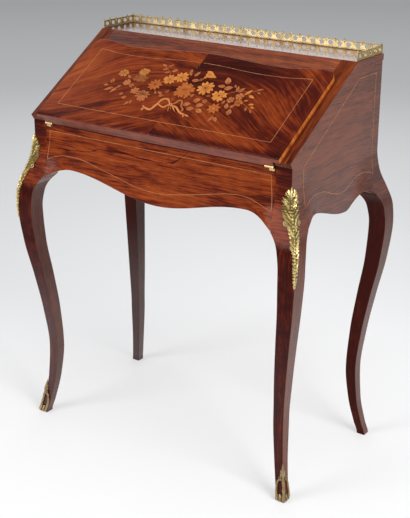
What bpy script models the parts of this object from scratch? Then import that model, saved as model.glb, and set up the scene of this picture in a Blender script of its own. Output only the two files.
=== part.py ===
"""Slant-front writing desk: a shallow carcass on four cabriole legs, with a hinged fall,
a well under the desk board and a small fitted interior.

Metres, +Z up, front towards -Y. The origin is on the floor under the middle of the desk.
"""

import math

import bmesh
import bpy
from mathutils import Matrix

# Overall sizes
WIDTH = 0.680  # across the carcass sides
DEPTH = 0.358  # apron's face to the rear edge of the top board
DESK_HEIGHT = 0.733  # desk board's upper face, and the hinge axis
TOP_HEIGHT = 0.905  # upper face of the flat top
TOP_DEPTH = 0.1145  # flat top, front edge to rear edge
FRONT_LIP = 0.019  # slope's face above the desk, measured at the apron's face
FIT = 0.0003  # gap between pieces that touch

# Carcass boards
TOP_THICK = 0.014
TOP_BACK_OVERHANG = 0.004  # top board past the rear posts
POST = 0.0365  # posts above the knees, square
APRON_THICK = 0.020
SIDE_THICK = 0.016
BACK_THICK = 0.010
BACK_SET = 0.003  # back panel's face inside the rear posts
BACK_DROP = 0.108  # back panel's lower edge below the desk
DESK_THICK = 0.012
BEARER = 0.011  # square strips that carry the desk and bottom boards
BOTTOM_DROP = 0.085  # bottom board's upper face below the desk
BOTTOM_THICK = 0.008

# Lower edges of the aprons, as drops below the desk
EAR_DROP = 0.125  # where the arch meets the post
ARCH_DROP = 0.101  # top of the front arches
ARCH_AT = 0.235  # front arch tops, from the middle
LOBE_DROP = 0.138  # lowest point of the front apron
SIDE_ARCH_DROP = 0.1125
SIDE_LOBE_DROP = 0.144
SIDE_LOBE_BACK = 0.0464  # lowest point of the side, behind the middle of the panel
SIDE_ARCH_AHEAD = 0.150  # from that point to the front arch's top
SIDE_ARCH_BEHIND = 0.066  # from that point to the rear arch's top
SWELL_REACH = 0.075  # how far the knees' swelling runs into the aprons

# Cabriole legs: height, splay of the outer corner, setback of the inner faces
LEG_FROM_FLOOR = (
    (0.000, 0.0125, 0.0075),
    (0.030, 0.0065, 0.0140),
    (0.100, -0.0040, 0.0265),
    (0.180, -0.0075, 0.0330),
    (0.270, 0.0000, 0.0293),
    (0.360, 0.0125, 0.0208),
)
# the same, at drops below the desk
LEG_FROM_DESK = (
    (0.283, 0.0266, 0.0108),
    (0.203, 0.0330, 0.0077),
    (0.163, 0.0306, 0.0128),
    (0.148, 0.0277, 0.0182),
    (0.137, 0.0244, 0.0257),
    (EAR_DROP, 0.0204, POST),
    (0.075, 0.0045, POST),
    (0.033, 0.0000, POST),
)
KNEE_DROP = 0.203  # widest part of the knee
SHANK_STEPS = 20  # sections from the floor to the knee
KNEE_DROPS = (0.178, 0.163, 0.148, 0.137, EAR_DROP, 0.095, 0.075, 0.054, 0.033)

# Slanted frame and fall
FRAME_THICK = 0.0134
FRAME_NOSE = 0.010  # stiles past the apron's face, along the slope
STILE_WIDTH = 0.038
BORDER = 0.022  # frame left showing beside the fall
TOP_BORDER = 0.0432  # frame and top edge left showing above the fall
LIP_THICK = 0.012  # fall standing proud of the frame
LIP_LAP = 0.032  # fall's lip over the top rail
FALL_CORNER = 0.0255  # radius of the fall's upper corners
FALL_DIP = 0.0108  # depth of the two hollows in its upper edge
FALL_DIP_AT = 0.195  # hollows, from the middle
CORE_SIDE_GAP = 0.0015
CORE_TOP_GAP = 0.0035
LEATHER_SIDE = 0.065  # bare wood beside the writing leather
LEATHER_FROM = 0.030  # leather's lower edge, from the hinge axis
LEATHER_LOCK_GAP = 0.0265  # bare wood between the leather and the lock
LEATHER_THICK = 0.0012

# Hinges
KNUCKLE_RADIUS = 0.0032
PIN_RADIUS = 0.0012
PIN_CLEARANCE = 0.00007
HINGE_LENGTH = 0.020
HINGE_END = 0.0005  # from the end of the fall's core
LEAF_THICK = 0.0015
LEAF_DEPTH = 0.016
NOTCH_SPACE = 0.0015  # open space in the fall beside the knuckles
ROUND_STEPS = 24

# Fall lock
LOCK_WIDTH = 0.044
LOCK_LENGTH = 0.034
LOCK_THICK = 0.010
BOLT_WIDTH = 0.014
BOLT_LENGTH = 0.016
BOLT_THICK = 0.005
BOLT_THROW = 0.008
STRIKE_LENGTH = 0.030
STRIKE_WIDTH = 0.0092
STRIKE_THICK = 0.0015
KEY_DROP = 0.0145  # key's axis below the core's upper edge
KEY_RADIUS = 0.0020
KEY_SLOT_WIDTH = 0.0022
KEY_SLOT_DROP = 0.0065
ESCUTCHEON_RIM = 0.0011
ESCUTCHEON_DEPTH = 0.003

# Well in the desk board
WELL_HALF = 0.110
WELL_FRONT_RAIL = 0.040  # desk board left in front of the lid
WELL_BACK_RAIL = 0.0155
LID_THICK = 0.0075
LID_LEDGE = 0.006  # ledge that carries the lid all round
LID_UNDER_BED = 0.010  # lid reaching under the drawer bed
LID_GRIP_RADIUS = 0.009
LID_GRIP_DEPTH = 0.003
LID_GRIP_FROM = 0.022  # finger hollow, from the lid's front edge
WELL_WALL = 0.008
WELL_WALL_OUT = 0.017  # wall outside the lid's opening

# Fitted interior
INTERIOR_DEPTH = 0.127  # drawer fronts to the back panel
BED_THICK = 0.005
PARTITION = 0.006
DRAWER_BAY = 0.048
DRAWER_FRONT_THICK = 0.008
DRAWER_WALL = 0.005
DRAWER_FLOOR = 0.003
DRAWER_GAP = 0.0008
DRAWER_BACK_GAP = 0.002
PIGEONHOLE_SET = 0.004  # partitions behind the drawer fronts
PIGEONHOLES = 4
KNOB_RADIUS = 0.0065
KNOB_STEM = 0.0028
KNOB_LENGTH = 0.014
KNOB_STEPS = 16

# Pierced gallery
GALLERY_HEIGHT = 0.022
GALLERY_THICK = 0.0016
GALLERY_INSET = 0.0025
GALLERY_PITCH = 0.0205
GALLERY_BASE = 0.0040
GALLERY_RAIL = 0.0165  # upper edge of the band that carries the finials
GALLERY_ARCH_TOP = 0.0138
GALLERY_POST = 0.0045
FINIAL_HALF = 0.0016

# Knee mounts, from the drop of their foot to that of their crown: drop, wing width, relief
KNEE_MOUNT = (
    (0.231, 0.0040, 0.0020),
    (0.200, 0.0060, 0.0030),
    (0.165, 0.0080, 0.0040),
    (0.145, 0.0115, 0.0050),
    (0.120, 0.0165, 0.0055),
    (0.095, 0.0175, 0.0055),
    (0.070, 0.0160, 0.0060),
    (0.050, 0.0120, 0.0070),
    (0.033, 0.0050, 0.0040),
)
# Toe caps: height, wing width, relief
TOE_CAP = (
    (0.000, 0.0205, 0.0070),
    (0.026, 0.0165, 0.0038),
    (0.053, 0.0105, 0.0030),
    (0.080, 0.0040, 0.0018),
)

# Finishes: colour, roughness, metallic
ROSEWOOD = ((0.19, 0.055, 0.025), 0.25, 0.0)
DARK_ROSEWOOD = ((0.10, 0.028, 0.014), 0.25, 0.0)
OAK = ((0.42, 0.27, 0.14), 0.55, 0.0)
GILT = ((0.80, 0.62, 0.28), 0.30, 1.0)
BRASS = ((0.74, 0.57, 0.27), 0.28, 1.0)
STEEL = ((0.48, 0.47, 0.45), 0.35, 1.0)
LEATHER = ((0.10, 0.16, 0.09), 0.50, 0.0)


def smooth(stations, height):
    """Value at a height on a smooth curve through (height, value) stations, with no overshoot."""
    heights = [station[0] for station in stations]
    values = [station[1] for station in stations]
    last = len(stations) - 1
    if height <= heights[0]:
        return values[0]
    if height >= heights[last]:
        return values[last]
    rises = [(values[i + 1] - values[i]) / (heights[i + 1] - heights[i]) for i in range(last)]

    def tangent(i):
        if i in (0, last) or rises[i - 1] * rises[i] <= 0.0:
            return 0.0
        return 2.0 * rises[i - 1] * rises[i] / (rises[i - 1] + rises[i])

    i = max(k for k in range(last) if heights[k] <= height)
    step = heights[i + 1] - heights[i]
    t = (height - heights[i]) / step
    start = (2 * t**3 - 3 * t**2 + 1) * values[i] + (t**3 - 2 * t**2 + t) * step * tangent(i)
    end = (3 * t**2 - 2 * t**3) * values[i + 1] + (t**3 - t**2) * step * tangent(i + 1)
    return start + end


LEG_CURVE = [*LEG_FROM_FLOOR, *((DESK_HEIGHT - drop, out, inn) for drop, out, inn in LEG_FROM_DESK)]


def splay(height):
    """How far a leg's outer corner stands outside the carcass, in X and in Y alike."""
    return smooth([(z, out) for z, out, inn in LEG_CURVE], height)


def setback(height):
    """How far a leg's inner faces lie inside the carcass faces."""
    return smooth([(z, inn) for z, out, inn in LEG_CURVE], height)


KNEE_HEIGHT = DESK_HEIGHT - KNEE_DROP
POST_START = DESK_HEIGHT - KNEE_DROPS[-1]
LEG_LEVELS = [KNEE_HEIGHT * i / SHANK_STEPS for i in range(SHANK_STEPS + 1)]
LEG_LEVELS += [DESK_HEIGHT - drop for drop in KNEE_DROPS]


def mount_sections(stations):
    """Height, wing width and relief of a mount, at each of the leg's sections that it covers."""
    wings = [(z, wing) for z, wing, relief in stations]
    reliefs = [(z, relief) for z, wing, relief in stations]
    covered = [z for z in LEG_LEVELS if stations[0][0] - FIT <= z <= stations[-1][0] + FIT]
    return [(z, smooth(wings, z), smooth(reliefs, z)) for z in covered]


KNEE_SECTIONS = mount_sections([(DESK_HEIGHT - drop, wing, relief) for drop, wing, relief in KNEE_MOUNT])

# The carcass is set so that the knees, with their mounts in front, stand centred on the origin
FRONT_REACH = max(splay(z) + FIT + relief for z, wing, relief in KNEE_SECTIONS)
REAR_REACH = max(splay(z) for z in LEG_LEVELS) - TOP_BACK_OVERHANG
FRONT = (FRONT_REACH - REAR_REACH - DEPTH) / 2
BACK = FRONT + DEPTH
POST_BACK = BACK - TOP_BACK_OVERHANG
HALF_WIDTH = WIDTH / 2
POST_X = HALF_WIDTH - POST  # inner faces of the posts
SIDE_X = HALF_WIDTH - SIDE_THICK  # inner faces of the side panels
BACK_Y = POST_BACK - BACK_SET - BACK_THICK  # inner face of the back panel
TOP_UNDER = TOP_HEIGHT - TOP_THICK

SLOPE = math.atan2(TOP_HEIGHT - DESK_HEIGHT - FRONT_LIP, DEPTH - TOP_DEPTH)
SLOPE_LENGTH = (DEPTH - TOP_DEPTH) / math.cos(SLOPE)
HINGE_Y = FRONT - KNUCKLE_RADIUS - FIT


def slope_point(along, above):
    """Y and Z of a point measured up the slope from the apron's face, and square out of it."""
    y = FRONT + along * math.cos(SLOPE) - above * math.sin(SLOPE)
    z = DESK_HEIGHT + FRONT_LIP + along * math.sin(SLOPE) + above * math.cos(SLOPE)
    return y, z


def slope_height(y, above):
    """Z on a plane parallel to the slope, above it by so much."""
    return DESK_HEIGHT + FRONT_LIP + (y - FRONT) * math.tan(SLOPE) + above / math.cos(SLOPE)


def slope_depth(z, above):
    """Y on a plane parallel to the slope, at a height."""
    rise = z - DESK_HEIGHT - FRONT_LIP - above / math.cos(SLOPE)
    return FRONT + rise / math.tan(SLOPE)


# The fall in its own frame: Y runs up the fall from the hinge axis, Z out through its face
AXIS_DOWN = (FRONT - HINGE_Y) * math.cos(SLOPE) + FRONT_LIP * math.sin(SLOPE)
FRAME_FACE = FRONT_LIP * math.cos(SLOPE) - (FRONT - HINGE_Y) * math.sin(SLOPE)
FALL_THICK = FRAME_FACE + LIP_THICK
FALL_HALF = HALF_WIDTH - BORDER
FALL_LENGTH = SLOPE_LENGTH - TOP_BORDER + AXIS_DOWN
CORE_HALF = HALF_WIDTH - STILE_WIDTH - CORE_SIDE_GAP
CORE_LENGTH = FALL_LENGTH - LIP_LAP
RAIL_FROM = CORE_LENGTH + CORE_TOP_GAP - AXIS_DOWN  # lower edge of the top rail, up the slope
HINGE_X = CORE_HALF - HINGE_END - HINGE_LENGTH / 2
KEY_Y = CORE_LENGTH - KEY_DROP
BOLT_Z = LOCK_THICK / 2 + FIT

INTERIOR_FRONT = BACK_Y - INTERIOR_DEPTH
BED_FROM = DESK_HEIGHT + FIT
DRAWER_FROM = BED_FROM + BED_THICK
SHELF_FROM = DRAWER_FROM + DRAWER_BAY
SHELF_TOP = SHELF_FROM + PARTITION


def clear_scene():
    for obj in list(bpy.data.objects):
        bpy.data.objects.remove(obj)


clear_scene()
parts = bpy.data.collections.new("slant_front_desk")
cutters = bpy.data.collections.new("cutters")
bpy.context.scene.collection.children.link(parts)
bpy.context.scene.collection.children.link(cutters)


def add_part(name, mesh, finish, parent=None):
    """One named piece with a material of its own."""
    colour, roughness, metallic = finish
    material = bpy.data.materials.new(name + "_finish")
    material.use_nodes = True
    shader = material.node_tree.nodes["Principled BSDF"]
    shader.inputs["Base Color"].default_value = (*colour, 1.0)
    shader.inputs["Roughness"].default_value = roughness
    shader.inputs["Metallic"].default_value = metallic
    mesh.name = name
    mesh.materials.append(material)
    obj = bpy.data.objects.new(name, mesh)
    obj.parent = parent
    parts.objects.link(obj)
    return obj


def add_axis(name, location, tilt=0.0):
    """Empty on a joint's axis, or at a slide's start, that carries a moving group."""
    axis = bpy.data.objects.new(name, None)
    axis.location = location
    axis.rotation_euler = (tilt, 0.0, 0.0)
    axis.empty_display_size = 0.03
    parts.objects.link(axis)
    return axis


def cut(obj, mesh, operation="DIFFERENCE"):
    """Boolean with a hidden tool that lies in the piece's own frame."""
    tool = bpy.data.objects.new(f"{obj.name}_tool", mesh)
    tool.parent = obj.parent
    tool.location = obj.location
    tool.rotation_euler = obj.rotation_euler
    tool.hide_render = True
    tool.display_type = "WIRE"
    cutters.objects.link(tool)
    modifier = obj.modifiers.new("join" if operation == "UNION" else "cut", "BOOLEAN")
    modifier.operation = operation
    modifier.object = tool
    modifier.solver = "EXACT"


def finished_mesh(shape, name):
    bmesh.ops.recalc_face_normals(shape, faces=shape.faces)
    mesh = bpy.data.meshes.new(name)
    shape.to_mesh(mesh)
    shape.free()
    return mesh


def box(low, high):
    """Box between two corners."""
    size = [b - a for a, b in zip(low, high)]
    middle = [(a + b) / 2 for a, b in zip(low, high)]
    shape = bmesh.new()
    place = Matrix.Translation(middle) @ Matrix.Diagonal((*size, 1.0))
    bmesh.ops.create_cube(shape, size=1.0, matrix=place)
    return finished_mesh(shape, "box")


def rod(radius, length, middle):
    """Round bar along X."""
    shape = bmesh.new()
    place = Matrix.Translation(middle) @ Matrix.Rotation(math.pi / 2, 4, "Y")
    bmesh.ops.create_cone(
        shape,
        cap_ends=True,
        segments=ROUND_STEPS,
        radius1=radius,
        radius2=radius,
        depth=length,
        matrix=place,
    )
    return finished_mesh(shape, "rod")


def plate(outlines, thickness, place=None):
    """Flat outlines in XY, the first one solid and the others holes, thickened both ways."""
    curve = bpy.data.curves.new("outline", "CURVE")
    curve.dimensions = "2D"
    curve.fill_mode = "BOTH"
    curve.extrude = thickness / 2
    for outline in outlines:
        spline = curve.splines.new("POLY")
        spline.points.add(len(outline) - 1)
        for point, (x, y) in zip(spline.points, outline):
            point.co = (x, y, 0.0, 1.0)
        spline.use_cyclic_u = True
    guide = bpy.data.objects.new("outline", curve)
    cutters.objects.link(guide)
    evaluated = guide.evaluated_get(bpy.context.evaluated_depsgraph_get())
    mesh = bpy.data.meshes.new_from_object(evaluated)
    bpy.data.objects.remove(guide)
    shape = bmesh.new()
    shape.from_mesh(mesh)
    bmesh.ops.remove_doubles(shape, verts=shape.verts, dist=1e-6)
    if place is not None:
        bmesh.ops.transform(shape, matrix=place, verts=shape.verts)
    bpy.data.meshes.remove(mesh)
    return finished_mesh(shape, "plate")


def upright(x):
    """Places a YZ outline so that it stands square to X at a given x."""
    turned = Matrix(((0, 0, 1, 0), (1, 0, 0, 0), (0, 1, 0, 0), (0, 0, 0, 1)))
    return Matrix.Translation((x, 0, 0)) @ turned


def lying(z):
    return Matrix.Translation((0, 0, z))


def loft(sections):
    """Skin over closed sections with the same number of points, closed at both ends."""
    shape = bmesh.new()
    rings = [[shape.verts.new(point) for point in section] for section in sections]
    for lower, upper in zip(rings, rings[1:]):
        for i in range(len(lower)):
            j = (i + 1) % len(lower)
            shape.faces.new((lower[i], lower[j], upper[j], upper[i]))
    shape.faces.new(rings[0])
    shape.faces.new(rings[-1])
    return finished_mesh(shape, "loft")


def arc(centre, radius, start, end, steps):
    """Points of a round stretch, angles in degrees."""
    turns = [math.radians(start + (end - start) * i / steps) for i in range(steps + 1)]
    return [(centre[0] + radius * math.cos(a), centre[1] + radius * math.sin(a)) for a in turns]


def spread(start, end, steps):
    return [start + (end - start) * i / steps for i in range(steps + 1)]


def fade(distance, reach):
    """One at no distance, falling smoothly to nought at the reach."""
    return 0.5 * (1 + math.cos(math.pi * min(distance / reach, 1.0)))


# Legs

def leg_section(side, end, face, height, tops=None):
    """Four corners of a leg at a height; tops gives other heights for the face and inner side."""
    outer_x = side * (HALF_WIDTH + splay(height))
    inner_x = side * (HALF_WIDTH - setback(height))
    outer_y = face + end * splay(height)
    inner_y = face - end * setback(height)
    outer_z, inner_z = tops or (height, height)
    return [
        (outer_x, outer_y, outer_z),
        (inner_x, outer_y, outer_z),
        (inner_x, inner_y, inner_z),
        (outer_x, inner_y, inner_z),
    ]


def post_top(y):
    """Top of a front post, under the slanted frame."""
    return slope_height(y, -FRAME_THICK - FIT)


SIDES = {"left": -1, "right": 1}
for side_name, side in SIDES.items():
    front_levels = [leg_section(side, -1, FRONT, z) for z in LEG_LEVELS]
    front_tops = (post_top(FRONT), post_top(FRONT + POST))
    front_levels.append(leg_section(side, -1, FRONT, TOP_HEIGHT, front_tops))
    add_part(f"leg_front_{side_name}", loft(front_levels), ROSEWOOD)
    rear_levels = [leg_section(side, 1, POST_BACK, z) for z in LEG_LEVELS]
    rear_levels.append(leg_section(side, 1, POST_BACK, TOP_HEIGHT, (TOP_UNDER - FIT, TOP_UNDER - FIT)))
    add_part(f"leg_rear_{side_name}", loft(rear_levels), ROSEWOOD)


# Aprons and panels that swell into the knees

def swelled_board(columns, low, high, face, back):
    """Board whose face follows the knees: columns across, few rows up, then a flat back.

    low and high give the edges at a column, face and back give a point of each surface.
    """
    swell_rows = 5
    shape = bmesh.new()
    bmesh.ops.create_grid(shape, x_segments=len(columns) - 1, y_segments=swell_rows + 1, size=0.5)
    skin = list(shape.faces)
    extruded = bmesh.ops.extrude_face_region(shape, geom=skin, use_keep_orig=True)["geom"]
    behind = {item for item in extruded if isinstance(item, bmesh.types.BMVert)}
    for vert in shape.verts:
        column = columns[round((vert.co.x + 0.5) * (len(columns) - 1))]
        row = round((vert.co.y + 0.5) * (swell_rows + 1))
        bottom = low(column)
        height = high(column)
        if row <= swell_rows:
            height = bottom + (POST_START - bottom) * row / swell_rows
        vert.co = (back if vert in behind else face)(column, height)
    return finished_mesh(shape, "board")


def front_low(x):
    """Lower edge of the front apron: a broad lobe between two arches."""
    off = abs(x)
    if off < ARCH_AT:
        return DESK_HEIGHT - ARCH_DROP - (LOBE_DROP - ARCH_DROP) * fade(off, ARCH_AT)
    share = (off - ARCH_AT) / (POST_X - ARCH_AT)
    return DESK_HEIGHT - ARCH_DROP - (EAR_DROP - ARCH_DROP) * share**2


def side_low(y):
    """Lower edge of a side panel: two arches, and a lobe that runs further ahead than behind."""
    lobe_y = (FRONT + POST_BACK) / 2 + SIDE_LOBE_BACK
    ahead = y < lobe_y
    reach = SIDE_ARCH_AHEAD if ahead else SIDE_ARCH_BEHIND
    ear_y = FRONT + POST if ahead else POST_BACK - POST
    off = abs(y - lobe_y)
    if off < reach:
        return DESK_HEIGHT - SIDE_ARCH_DROP - (SIDE_LOBE_DROP - SIDE_ARCH_DROP) * fade(off, reach)
    share = (off - reach) / (abs(ear_y - lobe_y) - reach)
    return DESK_HEIGHT - SIDE_ARCH_DROP - (EAR_DROP - SIDE_ARCH_DROP) * share**2


def side_high(y):
    return min(slope_height(y, -FRAME_THICK - FIT), TOP_UNDER - FIT)


def front_swell(x, z):
    return splay(z) * fade(POST_X - abs(x), SWELL_REACH)


def side_swell(y, z):
    return splay(z) * fade(min(y - FRONT - POST, POST_BACK - POST - y), SWELL_REACH)


apron_columns = spread(-POST_X + FIT, POST_X - FIT, 36)
front_apron = add_part(
    "front_apron",
    swelled_board(
        apron_columns,
        front_low,
        lambda x: DESK_HEIGHT,
        lambda x, z: (x, FRONT - front_swell(x, z), z),
        lambda x, z: (x, FRONT + APRON_THICK, z),
    ),
    ROSEWOOD,
)

slope_end = slope_depth(TOP_UNDER - FIT, -FRAME_THICK - FIT)
side_columns = spread(FRONT + POST + FIT, slope_end, 16) + spread(slope_end, POST_BACK - POST - FIT, 6)[1:]
for side_name, side in SIDES.items():
    add_part(
        f"side_panel_{side_name}",
        swelled_board(
            side_columns,
            side_low,
            side_high,
            lambda y, z: (side * (HALF_WIDTH + side_swell(y, z)), y, z),
            lambda y, z: (side * SIDE_X, y, z),
        ),
        ROSEWOOD,
    )

add_part(
    "back_panel",
    box(
        (-POST_X + FIT, BACK_Y, DESK_HEIGHT - BACK_DROP),
        (POST_X - FIT, BACK_Y + BACK_THICK, TOP_UNDER - FIT),
    ),
    OAK,
)

top_front = BACK - TOP_DEPTH
add_part(
    "top_board",
    box((-HALF_WIDTH, top_front + FIT, TOP_UNDER), (HALF_WIDTH, BACK, TOP_HEIGHT)),
    ROSEWOOD,
)


# Slanted frame round the fall

def frame_outline(start):
    """YZ outline of a stile or rail from a place up the slope to the edge of the flat top."""
    return [
        slope_point(start, -FRAME_THICK),
        slope_point(start, 0.0),
        (top_front, TOP_HEIGHT),
        (top_front, slope_height(top_front, -FRAME_THICK)),
    ]


for side_name, side in SIDES.items():
    stile = plate([frame_outline(-FRAME_NOSE)], STILE_WIDTH, upright(side * (HALF_WIDTH - STILE_WIDTH / 2)))
    add_part(f"slant_stile_{side_name}", stile, ROSEWOOD)
rail_width = WIDTH - 2 * (STILE_WIDTH + FIT)
top_rail = add_part("slant_top_rail", plate([frame_outline(RAIL_FROM)], rail_width, upright(0.0)), ROSEWOOD)


# Desk board, its bearers, and the well under it

def notched_board(name, front_y, under, thick, finish):
    """Board from side panel to side panel, notched round the posts that it meets."""
    wide = SIDE_X - FIT
    narrow = POST_X - FIT
    board = add_part(name, box((-wide, front_y, under), (wide, desk_back, under + thick)), finish)
    for side in SIDES.values():
        near, far = sorted((side * narrow, side * WIDTH))
        rear = box((near, POST_BACK - POST - FIT, under - POST), (far, BACK, under + thick + POST))
        cut(board, rear)
        if front_y < FRONT + POST:
            front = box((near, FRONT - POST, under - POST), (far, FRONT + POST + FIT, under + thick + POST))
            cut(board, front)
    return board


desk_front = FRONT + APRON_THICK + FIT
desk_back = BACK_Y - FIT
well_front = desk_front + WELL_FRONT_RAIL
well_back = desk_back - WELL_BACK_RAIL
lid_floor = DESK_HEIGHT - LID_THICK
desk_under = DESK_HEIGHT - DESK_THICK
desk_board = notched_board("desk_board", desk_front, desk_under, DESK_THICK, OAK)
cut(
    desk_board,
    box(
        (-WELL_HALF, well_front + LID_LEDGE, desk_under - APRON_THICK),
        (WELL_HALF, well_back - LID_LEDGE, DESK_HEIGHT + APRON_THICK),
    ),
)
ledge_half = WELL_HALF + LID_LEDGE
cut(
    desk_board,
    box((-ledge_half, well_front, lid_floor - FIT), (ledge_half, well_back, DESK_HEIGHT + APRON_THICK)),
)

lid_back = INTERIOR_FRONT + LID_UNDER_BED
lid_slide = add_axis("well_lid_slide", (0.0, well_front + FIT, lid_floor))
well_lid = add_part(
    "well_lid",
    box((-ledge_half + FIT, 0.0, 0.0), (ledge_half - FIT, lid_back - well_front - FIT, LID_THICK)),
    OAK,
    lid_slide,
)
grip = plate(
    [arc((0.0, LID_GRIP_FROM), LID_GRIP_RADIUS, 0, 345, 23)],
    2 * LID_GRIP_DEPTH,
    lying(LID_THICK),
)
cut(well_lid, grip)

bearer_y = (FRONT + POST + FIT, POST_BACK - POST - FIT)
bottom_top = DESK_HEIGHT - BOTTOM_DROP
bottom_under = bottom_top - BOTTOM_THICK
for side_name, side in SIDES.items():
    for name, top in (("desk_bearer", desk_under), ("bottom_bearer", bottom_under)):
        inner, outer = sorted((side * (SIDE_X - FIT - BEARER), side * (SIDE_X - FIT)))
        strip = box((inner, bearer_y[0], top - FIT - BEARER), (outer, bearer_y[1], top - FIT))
        add_part(f"{name}_{side_name}", strip, OAK)
    wall_x = side * (WELL_HALF + WELL_WALL_OUT)
    wall = box(
        (wall_x - WELL_WALL / 2, desk_front, bottom_top + FIT),
        (wall_x + WELL_WALL / 2, desk_back, desk_under - FIT),
    )
    add_part(f"well_wall_{side_name}", wall, OAK)
notched_board("bottom_board", desk_front, bottom_under, BOTTOM_THICK, OAK)


# Fall and its leather

def fall_edge(x):
    """Upper edge of the fall: level at the middle and shoulders, hollow between."""
    off = abs(x)
    if off < FALL_DIP_AT:
        return FALL_LENGTH - FALL_DIP * (1 - fade(off, FALL_DIP_AT))
    return FALL_LENGTH - FALL_DIP * fade(off - FALL_DIP_AT, FALL_HALF - FALL_CORNER - FALL_DIP_AT)


fall_axis = add_axis("fall_axis", (0.0, HINGE_Y, DESK_HEIGHT), SLOPE)
corner_y = FALL_LENGTH - FALL_CORNER
shoulder = FALL_HALF - FALL_CORNER
lip_outline = [(-FALL_HALF, 0.0), (FALL_HALF, 0.0)]
lip_outline += arc((shoulder, corner_y), FALL_CORNER, 0, 90, 8)
lip_outline += [(x, fall_edge(x)) for x in spread(shoulder, -shoulder, 48)[1:-1]]
lip_outline += arc((-shoulder, corner_y), FALL_CORNER, 90, 180, 8)
lip_depth = LIP_THICK - FIT
fall_panel = add_part(
    "fall_panel",
    plate([lip_outline], lip_depth, lying(FALL_THICK - lip_depth / 2)),
    ROSEWOOD,
    fall_axis,
)
core = box((-CORE_HALF, 0.0, 0.0), (CORE_HALF, CORE_LENGTH, FALL_THICK - lip_depth / 2))
cut(fall_panel, core, "UNION")

leather_half = CORE_HALF - LEATHER_SIDE
leather_to = CORE_LENGTH - LOCK_LENGTH - LEATHER_LOCK_GAP
recess = LEATHER_THICK + FIT
cut(
    fall_panel,
    box(
        (-leather_half - FIT, LEATHER_FROM - FIT, -recess),
        (leather_half + FIT, leather_to + FIT, recess),
    ),
)
add_part(
    "writing_leather",
    box((-leather_half, LEATHER_FROM, 0.0), (leather_half, leather_to, LEATHER_THICK)),
    LEATHER,
    fall_axis,
)


# Hinges: a leaf on the apron, a leaf on the fall, and a pin through both

def leaf_outline():
    """Section of a leaf: its plate's face runs through the axis, and its edge rolls round the pin."""
    meets = math.degrees(math.asin(LEAF_THICK / KNUCKLE_RADIUS))
    roll = arc((0.0, 0.0), KNUCKLE_RADIUS, 360 - meets, 0, ROUND_STEPS - 2)
    return [(LEAF_DEPTH, 0.0), (LEAF_DEPTH, -LEAF_THICK), *roll]


def pin_bore():
    return arc((0.0, 0.0), PIN_RADIUS + PIN_CLEARANCE, 0, 345, ROUND_STEPS - 1)


knuckle = HINGE_LENGTH / 3
knuckle_clear = KNUCKLE_RADIUS + FIT
leaf_space = LEAF_THICK + FIT
for side_name, side in SIDES.items():
    hinge_x = side * HINGE_X
    hinge_point = (hinge_x, HINGE_Y, DESK_HEIGHT)
    desk_leaf = add_part(
        f"desk_hinge_leaf_{side_name}",
        plate([leaf_outline(), pin_bore()], HINGE_LENGTH, upright(0.0)),
        BRASS,
        add_axis(f"desk_leaf_axis_{side_name}", hinge_point),
    )
    middle_half = knuckle / 2 + FIT
    cut(
        desk_leaf,
        box((-middle_half, -knuckle_clear, -knuckle_clear), (middle_half, knuckle_clear, knuckle_clear)),
    )
    fall_leaf = add_part(
        f"fall_hinge_leaf_{side_name}",
        plate([[(y, -z) for y, z in leaf_outline()], pin_bore()], HINGE_LENGTH, upright(hinge_x)),
        BRASS,
        fall_axis,
    )
    for end in (-1, 1):
        ends = sorted((hinge_x + end * knuckle / 2, hinge_x + end * HINGE_LENGTH))
        cut(
            fall_leaf,
            box((ends[0], -knuckle_clear, -knuckle_clear), (ends[1], knuckle_clear, knuckle_clear)),
        )
    add_part(
        f"hinge_pin_{side_name}",
        rod(PIN_RADIUS, HINGE_LENGTH, (0.0, 0.0, 0.0)),
        STEEL,
        add_axis(f"hinge_pin_axis_{side_name}", hinge_point),
    )
    seat_half = HINGE_LENGTH / 2 + FIT
    core_end = side * (CORE_HALF + NOTCH_SPACE)
    notch_start = side * (HINGE_X - seat_half - NOTCH_SPACE)
    notch = rod(knuckle_clear, abs(core_end - notch_start), ((core_end + notch_start) / 2, 0.0, 0.0))
    cut(fall_panel, notch)
    seat = sorted((side * (HINGE_X - seat_half), core_end))
    cut(
        fall_panel,
        box((seat[0], -leaf_space, -leaf_space), (seat[1], LEAF_DEPTH + FIT, leaf_space)),
    )
    cut(
        front_apron,
        box(
            (hinge_x - seat_half, FRONT - APRON_THICK, DESK_HEIGHT - leaf_space),
            (hinge_x + seat_half, HINGE_Y + LEAF_DEPTH + FIT, DESK_HEIGHT + leaf_space),
        ),
    )


# Lock in the fall's upper edge, its bolt, the strike plate and the keyhole

def keyhole(rim):
    """XY outline of a keyhole, a rim wider all round."""
    radius = KEY_RADIUS + rim
    half = KEY_SLOT_WIDTH / 2 + rim
    meets = math.degrees(math.acos(half / radius))
    foot = KEY_Y - KEY_SLOT_DROP - rim
    return [(-half, foot), (half, foot), *arc((0.0, KEY_Y), radius, -meets, 180 + meets, 18)]


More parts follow.
